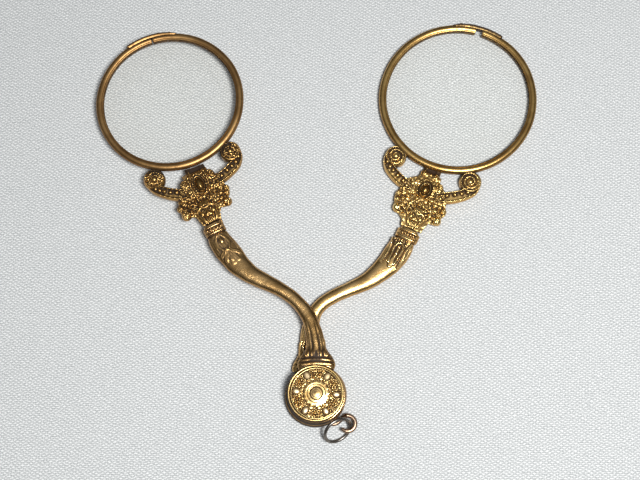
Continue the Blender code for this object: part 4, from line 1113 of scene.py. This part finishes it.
# lap strip section: share of thickness outwards, share of half width
LAP_SECTION = [(0.0, -0.80), (0.30, -0.98), (0.62, -1.0), (0.86, -0.84), (1.0, -0.50),
               (1.04, 0.0), (1.0, 0.50), (0.86, 0.84), (0.62, 1.0), (0.30, 0.98), (0.0, 0.80),
               (0.0, 0.3), (0.0, -0.3)]


def rim_radius(side, t):
    across, along = OVAL[side]
    return RIM_OUT[side] + across * math.cos(t) ** 2 + along * math.sin(t) ** 2


def seat(side, t):
    """1 where the rim's wire is filed down to seat the lap strip, 0 on the rest of the rim."""
    degrees = math.degrees(t) % 360.0
    start, end = LAP[side]
    return float(smoothstep(start - 1.0, start + 2.0, degrees)
                 * smoothstep(end + 1.0, end - 2.0, degrees))


def ring_point(side, t, radius, z):
    return (radius * math.cos(t), REACH[side] + radius * math.sin(t), z)


def build_channel(side):
    """Half-round channel with a lens groove inside and a fine step at its inner lip."""
    profile = []
    for i in range(31):
        angle = math.radians(-152 + 304 * i / 30)
        cos, sin = math.cos(angle), math.sin(angle)
        x = RIM_HALF * math.copysign(abs(cos) ** (2 / 2.2), cos) - RIM_HALF
        y = 0.92 * math.copysign(abs(sin) ** (2 / 2.2), sin)
        if x > -1.42:
            profile.append((x, y))
    profile += RIM_LIP + [(x, -y) for x, y in reversed(RIM_LIP)]
    gap_start, gap_end = [math.radians(angle) for angle in SPLIT[side]]
    steps = 420
    loops = []
    for i in range(steps + 1):
        t = gap_end + (gap_start + 2 * math.pi - gap_end) * i / steps
        radius = rim_radius(side, t) + (0.012 * math.sin(7 * t + 1.3) + 0.008 * math.sin(17 * t))
        filed = 1.0 - 0.45 * seat(side, t)
        x_scale, y_scale = (1.0, 1.0) if 0 < i < steps else (0.93, 0.92)  # eased cut ends
        loops.append(leaf_to_row([
            ring_point(side, t, radius + (x + RIM_HALF) * x_scale
                       * (filed if x > -RIM_HALF else 1.0) - RIM_HALF, y * y_scale)
            for x, y in profile], side))
    swept_piece(side + "_rim_channel", loops, on_leaf(side, "rim", "rim"), sharp=50.0)


def build_lap_strip(side):
    """Strip that bridges the joint, with softened edges and a thinned tip."""
    start, end = LAP[side]
    tip_thick, tip_run, tip_width = LAP_TIP[side]
    steps = 90
    loops = []
    for i in range(steps + 1):
        degrees = start + (end - start) * i / steps
        t = math.radians(degrees)
        from_tip = degrees - start if side == "left" else end - degrees
        thick = 0.52 * (tip_thick + (1.0 - tip_thick) * min(1.0, from_tip / tip_run))
        half = 0.86 * (tip_width + (1.0 - tip_width) * min(1.0, from_tip / 5.0))
        from_end = min(i, steps - i)
        soft = (0.55, 0.85, 0.96)[from_end] if from_end < 3 else 1.0
        bulge = 0.03 * math.sin(math.pi * i / steps)
        sunk = 0.36 * seat(side, t)
        inner = rim_radius(side, t) - 0.10 + bulge * 0.3 - sunk
        thick += sunk
        loops.append(leaf_to_row([
            ring_point(side, t, inner + thick * x * soft, half * y * (0.9 + 0.1 * soft))
            for x, y in LAP_SECTION], side))
    strip = swept_piece(side + "_lap_strip", loops, on_leaf(side, "lap_plate", "rim"),
                        sharp=50.0)

    def tone_weight(x, y, z):
        # darker towards the strip's outer edge
        leaf_x, leaf_y = to_leaf(side, x, y)
        gap = np.hypot(leaf_x, leaf_y - REACH[side]) - RIM_OUT[side]
        return 0.24 * smoothstep(-0.45, -0.05, gap)

    tarnish_and_painted_light(strip, tone_weight)


def build_lap_rivet(side):
    """The pin through the lap strip, with a domed head."""
    start, end = LAP[side]
    angle = math.radians(start + 6.0 if side == "left" else end - 6.0)
    rim = rim_radius(side, angle)
    top = rim + (0.28 if side == "left" else 0.36)
    # radius of the pin, distance from the lens centre
    profile = [(0.29, rim - 0.66), (0.29, top), (0.40, top + 0.02), (0.40, top + 0.07),
               (0.34, top + 0.13), (0.20, top + 0.17), (0.06, top + 0.185)]
    cos, sin = math.cos(angle), math.sin(angle)
    loops = []
    for radius, out in profile:
        loop = []
        for j in range(20):
            turn = 2 * math.pi * j / 20
            across = radius * math.cos(turn)
            loop.append((out * cos - across * sin, REACH[side] + out * sin + across * cos,
                         radius * math.sin(turn)))
        loops.append(leaf_to_row(loop, side))
    swept_piece(side + "_lap_rivet", loops, on_leaf(side, "lap_pin", "rim"), sharp=40.0)


def build_lens(side):
    """A thin bi-convex disc ground to the rim's outline, with a bevelled edge."""
    middle_z, seated = 0.68, 0.44
    face = [(x * 0.985, 0.40 + 0.28 * (1 - x * x)) for x in (i / 8.0 for i in range(9))]
    profile = face[1:] + [(1.0, 0.20), (1.0, -0.20)] + [(x, -z) for x, z in reversed(face[1:])]
    count = 144
    verts = [ring_point(side, 0.0, 0.0, middle_z)]
    for x, z in profile:
        for j in range(count):
            t = 2 * math.pi * j / count
            radius = rim_radius(side, t) - 2 * RIM_HALF + seated
            verts.append(ring_point(side, t, radius * x, z))
    last = len(verts)
    verts.append(ring_point(side, 0.0, 0.0, -middle_z))
    rows = [range(first, first + count) for first in range(1, last, count)]
    faces = [(0, rows[0][j], rows[0][(j + 1) % count]) for j in range(count)]
    for upper, lower in zip(rows, rows[1:]):
        faces += [(upper[j], lower[j], lower[(j + 1) % count], upper[(j + 1) % count])
                  for j in range(count)]
    faces += [(last, rows[-1][(j + 1) % count], rows[-1][j]) for j in range(count)]
    name = side + "_lens_disc"
    mesh = bpy.data.meshes.new(name)
    mesh.from_pydata([tuple(point) for point in leaf_to_row(verts, side) * MM], [], faces)
    mesh.shade_smooth()
    mesh.set_sharp_from_angle(angle=math.radians(30.0))
    add_piece(name, mesh, (PLACE[side] + "_leaf", side + "_lens", "lens_glass", "lens_glass"))


# ------------------------------------------------------------------ hub
PEARL_DEGREES = (-4.0, 56.0, 117.0, 173.0, 237.0, 298.0)
# painted shade on each pearl, deepest on the pearls away from the light
PEARL_SHADE = (0.0, 0.34, 0.42, 0.14, 0.24, 0.0)
FLOWER_DEGREES = (26.0, 86.5, 145.0, 205.0, 267.5, 327.0)
ROUNDEL_HOME = ("front_leaf", "front_roundel", "gilt_hub", "gilt_hub")
BEZEL_X = -0.12  # the bezel sits a little off centre
# turned profiles: radius, z
BEZEL = [(5.67, 6.55), (5.68, 6.88), (5.74, 7.00), (5.84, 7.06), (5.98, 7.05), (6.08, 6.98),
         (6.15, 6.84), (6.10, 6.72), (6.10, 6.58), (6.20, 6.46), (6.22, 5.86), (6.14, 5.76),
         (6.22, 5.64), (6.20, 5.42), (6.14, 5.38), (5.67, 5.38)]
REAR_CAP = [(1.60, 0.45), (1.60, 0.90), (5.60, 0.90), (5.95, 0.86), (6.14, 0.78), (6.20, 0.66),
            (6.20, 0.34), (6.12, 0.18), (5.96, 0.06), (5.76, 0.0), (5.00, 0.0), (4.92, 0.08),
            (4.80, 0.08), (4.72, 0.0), (3.62, 0.0), (3.52, 0.10), (3.38, 0.10), (3.28, 0.0),
            (1.9, 0.0), (1.75, 0.10), (0.9, 0.14), (0.02, 0.16), (0.02, 0.45)]


def roundel_centre(relief, radius, angle):
    """Low dome in a shallow ring, then a sloping collar with a scalloped edge."""
    edge = 2.84 + 0.14 * np.cos(16.0 * angle)
    cone = 0.58 - 0.24 * (radius - 1.55)
    cone += 0.045 * np.clip(np.cos(16.0 * angle), 0.0, None) * smoothstep(2.2, 2.7, radius)
    worn = smoothstep(-0.1, 0.8, np.cos(angle + 0.70))
    cone += (1.0 - 0.8 * worn) * (0.14 * bell(radius - 1.88, 0.12)
                                  - 0.07 * bell(radius - 2.12, 0.10))
    relief += smoothstep(edge + 0.07, edge - 0.07, radius) * smoothstep(1.42, 1.55, radius) * cone
    relief += smoothstep(1.56, 1.42, radius) * (0.40 + 0.27 * cap((radius / 1.40) ** 2, 0.8))
    relief -= 0.04 * bell(radius - 0.92, 0.07)


def roundel_flower(sheet, degrees):
    """Six petals round a button, with side leaves, between two pearls."""
    def put(radial, sideways, x_radius, y_radius, height, spin=0.0):
        x, y = turned(4.22 + radial, sideways, -math.radians(degrees))
        sheet.dome(x, y, x_radius, y_radius, height, degrees + spin)

    put(0.05, 0.0, 0.32, 0.32, 0.30)
    for j in range(6):
        angle = math.radians(60 * j + 30)
        put(0.05 + 0.60 * math.cos(angle), 0.60 * math.sin(angle), 0.30, 0.26, 0.30,
            math.degrees(angle))
    for sign in (-1, 1):
        put(0.50, sign * 1.10, 0.20, 0.40, 0.24, sign * 35)
        put(-0.58, sign * 0.66, 0.20, 0.34, 0.20, -sign * 35)
    put(0.86, 0.0, 0.14, 0.38, 0.20)
    put(-0.88, 0.0, 0.30, 0.17, 0.20)


def build_roundel():
    sheet = Sheet((-5.8, 5.8), (-5.8, 5.8), (5.20, 7.45), 0.055)
    relief = sheet.relief
    radius, angle = np.hypot(sheet.x, sheet.y), np.arctan2(sheet.y, sheet.x)
    relief += 6.20
    relief += 0.30 * smoothstep(5.30, 5.42, radius)
    sheet.grain((radius > 3.0) * (radius < 5.30), 0.66, 0.15, 31.0)
    roundel_centre(relief, radius, angle)
    for degrees in PEARL_DEGREES:
        out, across = turned(sheet.x, sheet.y, math.radians(degrees))
        out = out - 4.32
        reach = np.hypot(out / 0.80, across / 0.62)
        relief += 0.22 * cap(reach ** 2, 0.5)
        # the tongue-shaped border, open towards the edge
        border = np.hypot(np.minimum(out, 0.0) / 1.02 + np.maximum(out, 0.0) / 2.2,
                          across / 0.92)
        relief += 0.20 * bell(border - 1.0, 0.14) * (radius < 5.30) * (radius > 3.0)
        relief -= (0.12 * smoothstep(0.98, 1.04, reach) * smoothstep(0.92, 0.86, border)
                   * (radius < 5.25))
    for degrees in FLOWER_DEGREES:
        roundel_flower(sheet, degrees)
    solid = slab(sheet, radius - 5.60, top=np.minimum(relief, 7.20), bottom=5.38, soft=0.10)
    recess = np.maximum(lift(radius - 2.35), sheet.z - 5.96)
    roundel = cast_piece("front_roundel_chased", np.maximum(solid, -recess), sheet.grid,
                         ROUNDEL_HOME)

    def tone_weight(x, y, z):
        # painted shade on the centre dome, deeper on its upper-left side away from the light;
        # painted highlight on the collar's lower-right side, towards the light
        radius, facing = np.hypot(x, y), np.cos(np.arctan2(y, x) + 0.70)
        dome = smoothstep(1.62, 1.48, radius) * (0.085 + 0.045 * smoothstep(0.5, -0.6, facing))
        collar = (smoothstep(1.50, 1.66, radius) * smoothstep(3.0, 2.8, radius)
                  * (-0.02 - 0.20 * smoothstep(0.25, 0.9, facing)))
        return dome + collar

    tarnish_and_painted_light(roundel, tone_weight)


def build_pearls():
    for k, (degrees, tarnish) in enumerate(zip(PEARL_DEGREES, PEARL_SHADE)):
        loops = []
        for latitude in (-80, -55, -30, -10, 8, 24, 38, 50, 60, 69, 77, 84):
            angle = math.radians(latitude)
            size = max(0.0, math.cos(angle)) ** 0.60
            z = 6.42 + 0.42 * math.copysign(abs(math.sin(angle)) ** 1.15, angle)
            loop = []
            for i in range(28):
                turn = 2 * math.pi * i / 28
                out, across = 4.36 + 0.86 * size * math.cos(turn), 0.66 * size * math.sin(turn)
                loop.append((*turned(out, across, -math.radians(degrees)), z))
            loops.append(loop)
        pearl = swept_piece(f"roundel_pearl_{k + 1}", loops, (*ROUNDEL_HOME[:3], "pearl"))
        # each pearl takes its own painted shade
        tarnish_and_painted_light(pearl, lambda x, y, z: tarnish)


def turned_ring(name, profile, body, node, centre_x=0.0, flutes=0):
    """Turns a profile round z; flutes are cut in its outer wall between z 0.3 and 0.7."""
    steps, depth = 240, 0.05
    loops = []
    for i in range(steps):
        t = 2 * math.pi * i / steps
        cut = depth * (0.5 - 0.5 * math.cos(flutes * t))
        loop = []
        for radius, z in profile:
            if 0.3 <= z <= 0.7 and radius > 3.0:
                radius = radius - cut
            loop.append((centre_x + radius * math.cos(t), radius * math.sin(t), z))
        loops.append(loop)
    return swept_piece(name, loops, (body, node, "gilt_hub", "gilt_hub"), closed=True,
                       sharp=40.0)


def build_bezel():
    bezel = turned_ring("roundel_bezel_turned", BEZEL, "front_leaf", "roundel_bezel",
                        centre_x=BEZEL_X)

    def tone_weight(x, y, z):
        # painted shade on the outer wall, heaviest on the drum's side away from the light;
        # painted highlight on the crest
        wall = smoothstep(5.94, 6.08, np.hypot(x - BEZEL_X, y)) * smoothstep(7.06, 6.95, z)
        return wall * (0.06 + 0.28 * drum_shade(x, y)) - 0.10 * smoothstep(6.98, 7.04, z)

    tarnish_and_painted_light(bezel, tone_weight)


def build_bail():
    """Eye plate and strap on the pivot, and the hooked wire."""
    step = 0.075
    low, high = (-3.7, -8.6, 0.70), (9.2, 3.7, 3.25)
    x, y, z = np.meshgrid(*[np.arange(start, end, step) for start, end in zip(low, high)],
                          indexing="ij")
    radius = np.hypot(x, y)
    solid = soft_max(radius - 3.30, beyond(z, 1.00, 1.65), 0.12)
    along, across = turned(x, y, math.radians(-60.4))
    strap = np.maximum(beyond(along, 1.5, 7.25),
                       np.abs(across) - 0.80 + 0.01 * np.abs(along - 4.0))
    solid = soft_min(solid, soft_max(strap, beyond(z, 1.02, 1.64), 0.15), 0.12)
    # wire: x, y, z, radius
    path = [(3.45, -6.20, 1.28, 0.43), (4.35, -5.98, 1.30, 0.43), (5.15, -5.36, 1.45, 0.44),
            (5.80, -4.72, 1.85, 0.46)]
    for degrees in range(95, -143, -14):
        angle = math.radians(degrees)
        path.append((6.67 + 1.68 * math.cos(angle), -6.15 + 1.68 * math.sin(angle), 2.50, 0.50))
    path = catmull(path, 4)
    wire = np.full(x.shape, 9.0)
    total = len(path)
    for i, (start, end) in enumerate(zip(path, path[1:])):
        thick = start[3] - 0.12 * max(0.0, (i - total * 0.88) / (total * 0.12))
        near = tuple(slice(max(0, int((min(start[k], end[k]) - 1.0 - low[k]) / step)),
                           int((max(start[k], end[k]) + 1.0 - low[k]) / step) + 1)
                     for k in range(2))
        run = np.array(end[:3]) - np.array(start[:3])
        off_x, off_y, off_z = x[near] - start[0], y[near] - start[1], z[near] - start[2]
        share = np.clip((off_x * run[0] + off_y * run[1] + off_z * run[2]) / (run @ run), 0, 1)
        gap = np.sqrt((off_x - share * run[0]) ** 2 + (off_y - share * run[1]) ** 2
                      + (off_z - share * run[2]) ** 2) - thick
        wire[near] = np.minimum(wire[near], gap)
    solid = soft_min(solid, wire, 0.18)
    solid = np.maximum(solid, BORE - radius)
    solid = np.maximum(solid, np.where(radius < 7.1, z - 1.70, -9.0))
    cast_piece("ribbon_bail_hook", solid, (low, step),
               ("bail", "ribbon_bail", "gilt_hub", "gilt_hook"))


def build_jump_ring():
    """One turn of wire with its two cut ends meeting."""
    centre = np.array((4.50, -7.72, 2.95))
    ring_radius, wire_radius, gap, steps = 3.10, 0.37, 0.035, 200
    heading, lean, start = math.radians(34.0), math.radians(55.0), math.radians(205.0)
    level = np.array((math.cos(heading), math.sin(heading), 0.0))
    rise = np.array((-math.sin(heading) * math.cos(lean), math.cos(heading) * math.cos(lean),
                     math.sin(lean)))
    normal = np.cross(level, rise)
    loops = []
    for i in range(steps + 1):
        t = (start + gap / ring_radius
             + (2 * math.pi - 2 * gap / ring_radius) * i / steps)
        out = math.cos(t) * level + math.sin(t) * rise
        shift = 0.10 * (i / steps - 0.5) * 0.6
        radius = wire_radius * {0: 0.82, 1: 0.95}.get(min(i, steps - i), 1.0)
        loop = []
        for k in range(18):
            turn = 2 * math.pi * k / 18
            loop.append(centre + ring_radius * out + normal * shift
                        + radius * (math.cos(turn) * out + math.sin(turn) * normal))
        loops.append(loop)
    swept_piece("jump_ring_wire", loops, ("ring", "jump_ring", "dark_steel", "dark_steel"),
                sharp=60.0)


def dress_frame_nodes():
    """Rivet and washer, inside the hub, keep their frame meshes."""
    for node in ("pivot_rivet", "friction_washer"):
        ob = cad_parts[node]
        ob.data.materials.clear()
        ob.data.materials.append(MATERIALS["dark_steel"])
        bevel = ob.modifiers.new("eased_edges", "BEVEL")
        bevel.width = 0.05 * MM
        bevel.segments = 2
        bevel.limit_method = "ANGLE"


for leaf in ("left", "right"):
    build_arm(leaf)
    build_collar(leaf)
    build_mask(leaf)
    build_bracket(leaf)
    build_cabochon(leaf)
    build_channel(leaf)
    build_lap_strip(leaf)
    build_lap_rivet(leaf)
    build_lens(leaf)
build_roundel()
build_pearls()
build_bezel()
turned_ring("rear_cap_turned", REAR_CAP, "rear_leaf", "rear_cap", flutes=72)
build_bail()
build_jump_ring()
dress_frame_nodes()

# ------------------------------------------------------------------ floor, light, camera
# plain weave: threads per millimetre across x and y, share of the tone;
# the brick lattice of crossings, then the rows and the columns of threads
WEAVE = [(-0.809, -1.169, 0.60), (0.808, -1.341, 0.60), (1.617, -0.172, 0.35),
         (0.0, -2.51, 0.95), (3.234, -0.344, 0.60)]


def pale_cloth():
    n = Nodes("pale_cloth")
    coord = n.millimetres()
    drift = n.add("ShaderNodeTexNoise", Vector=coord, Scale=0.55, Detail=5.0, Roughness=0.72)
    wander = (1.1, 1.1, 0.0)  # how far the threads stray, in millimetres
    strayed = n.add("ShaderNodeVectorMath", {"operation": "MULTIPLY_ADD"},
                    in0=drift.outputs["Color"], in1=wander, in2=coord).outputs[0]
    waves = []
    for x, y, share in WEAVE:
        phase = n.add("ShaderNodeVectorMath", {"operation": "DOT_PRODUCT"}, in0=strayed,
                      in1=(2 * math.pi * x, 2 * math.pi * y, 0.0)).outputs["Value"]
        waves.append((n.math("COSINE", phase), share))
    weave = n.ramp(n.weighted(*waves), start=-1.7, end=1.7)
    grain = n.noise(coord, scale=1.6, detail=4.0, rough=0.6)
    speckle = n.noise(coord, scale=3.6, detail=3.0, rough=0.7)
    part = n.weighted((weave, 0.70), (grain, 0.12), (n.ramp(speckle, start=0.35, end=0.65), 0.18))
    tone = n.mix(part, (0.292, 0.314, 0.321, 1.0), (0.986, 1.0, 1.0, 1.0))
    bump = n.add("ShaderNodeBump", Strength=0.35, Distance=0.1 * MM,
                 Height=n.weighted((weave, 0.9), (grain, 0.3)))
    return n.finish(n.add("ShaderNodeBsdfPrincipled", Roughness=0.95, Normal=bump.outputs[0],
                          Specular_IOR_Level=0.15, Base_Color=tone))


def build_floor():
    half, z = 0.9, -0.00002  # metres
    mesh = bpy.data.meshes.new("floor")
    mesh.from_pydata([(-half, -half, z), (half, -half, z), (half, half, z), (-half, half, z)],
                     [], [(0, 1, 2, 3)])
    ob = bpy.data.objects.new("floor", mesh)
    bpy.context.scene.collection.objects.link(ob)
    mesh.materials.append(pale_cloth())


def build_key_light():
    place, target = Vector((0.090, -0.082, 0.42)), Vector((0.0, 0.03, 0.0))  # metres
    light = bpy.data.lights.new("key", "AREA")
    light.shape = "RECTANGLE"
    light.size = light.size_y = 0.075
    light.energy = 2.07
    light.color = (1.0, 0.993, 0.980)
    ob = bpy.data.objects.new("key", light)
    bpy.context.scene.collection.objects.link(ob)
    ob.location = place
    ob.rotation_mode = "QUATERNION"
    ob.rotation_quaternion = (target - place).to_track_quat("-Z", "Y")


def build_world():
    """A dim studio that grows lighter overhead."""
    world = bpy.data.worlds.new("studio")
    bpy.context.scene.world = world
    world.use_nodes = True
    tree = world.node_tree
    coord = tree.nodes.new("ShaderNodeTexCoord")
    split = tree.nodes.new("ShaderNodeSeparateXYZ")
    shade = tree.nodes.new("ShaderNodeValToRGB")
    ramp = shade.color_ramp
    ramp.interpolation = "EASE"
    low, high = ramp.elements[0], ramp.elements[1]
    low.position, low.color = 0.10, (0.030, 0.029, 0.028, 1.0)
    high.position, high.color = 0.98, (0.30, 0.31, 0.325, 1.0)
    ramp.elements.new(0.60).color = (0.085, 0.086, 0.088, 1.0)
    background = tree.nodes["Background"]
    background.inputs["Strength"].default_value = 1.0
    tree.links.new(coord.outputs["Generated"], split.inputs[0])
    tree.links.new(split.outputs["Z"], shade.inputs[0])
    tree.links.new(shade.outputs[0], background.inputs["Color"])


def build_camera():
    place = (0.00721, -0.03372, 0.26653)  # metres
    turns = ((1.326, "Y"), (14.660, "X"), (-0.637, "Z"))  # degrees
    data = bpy.data.cameras.new("camera")
    data.sensor_width = 36.0
    data.lens = 67.54
    data.clip_start, data.clip_end = 0.01, 10.0
    camera = bpy.data.objects.new("camera", data)
    bpy.context.scene.collection.objects.link(camera)
    about_y, about_x, about_z = (Matrix.Rotation(math.radians(degrees), 4, axis)
                                 for degrees, axis in turns)
    camera.matrix_world = Matrix.Translation(place) @ (about_y @ about_x @ about_z)
    bpy.context.scene.camera = camera


build_floor()
build_key_light()
build_world()
build_camera()
bpy.context.scene.view_settings.view_transform = "Standard"
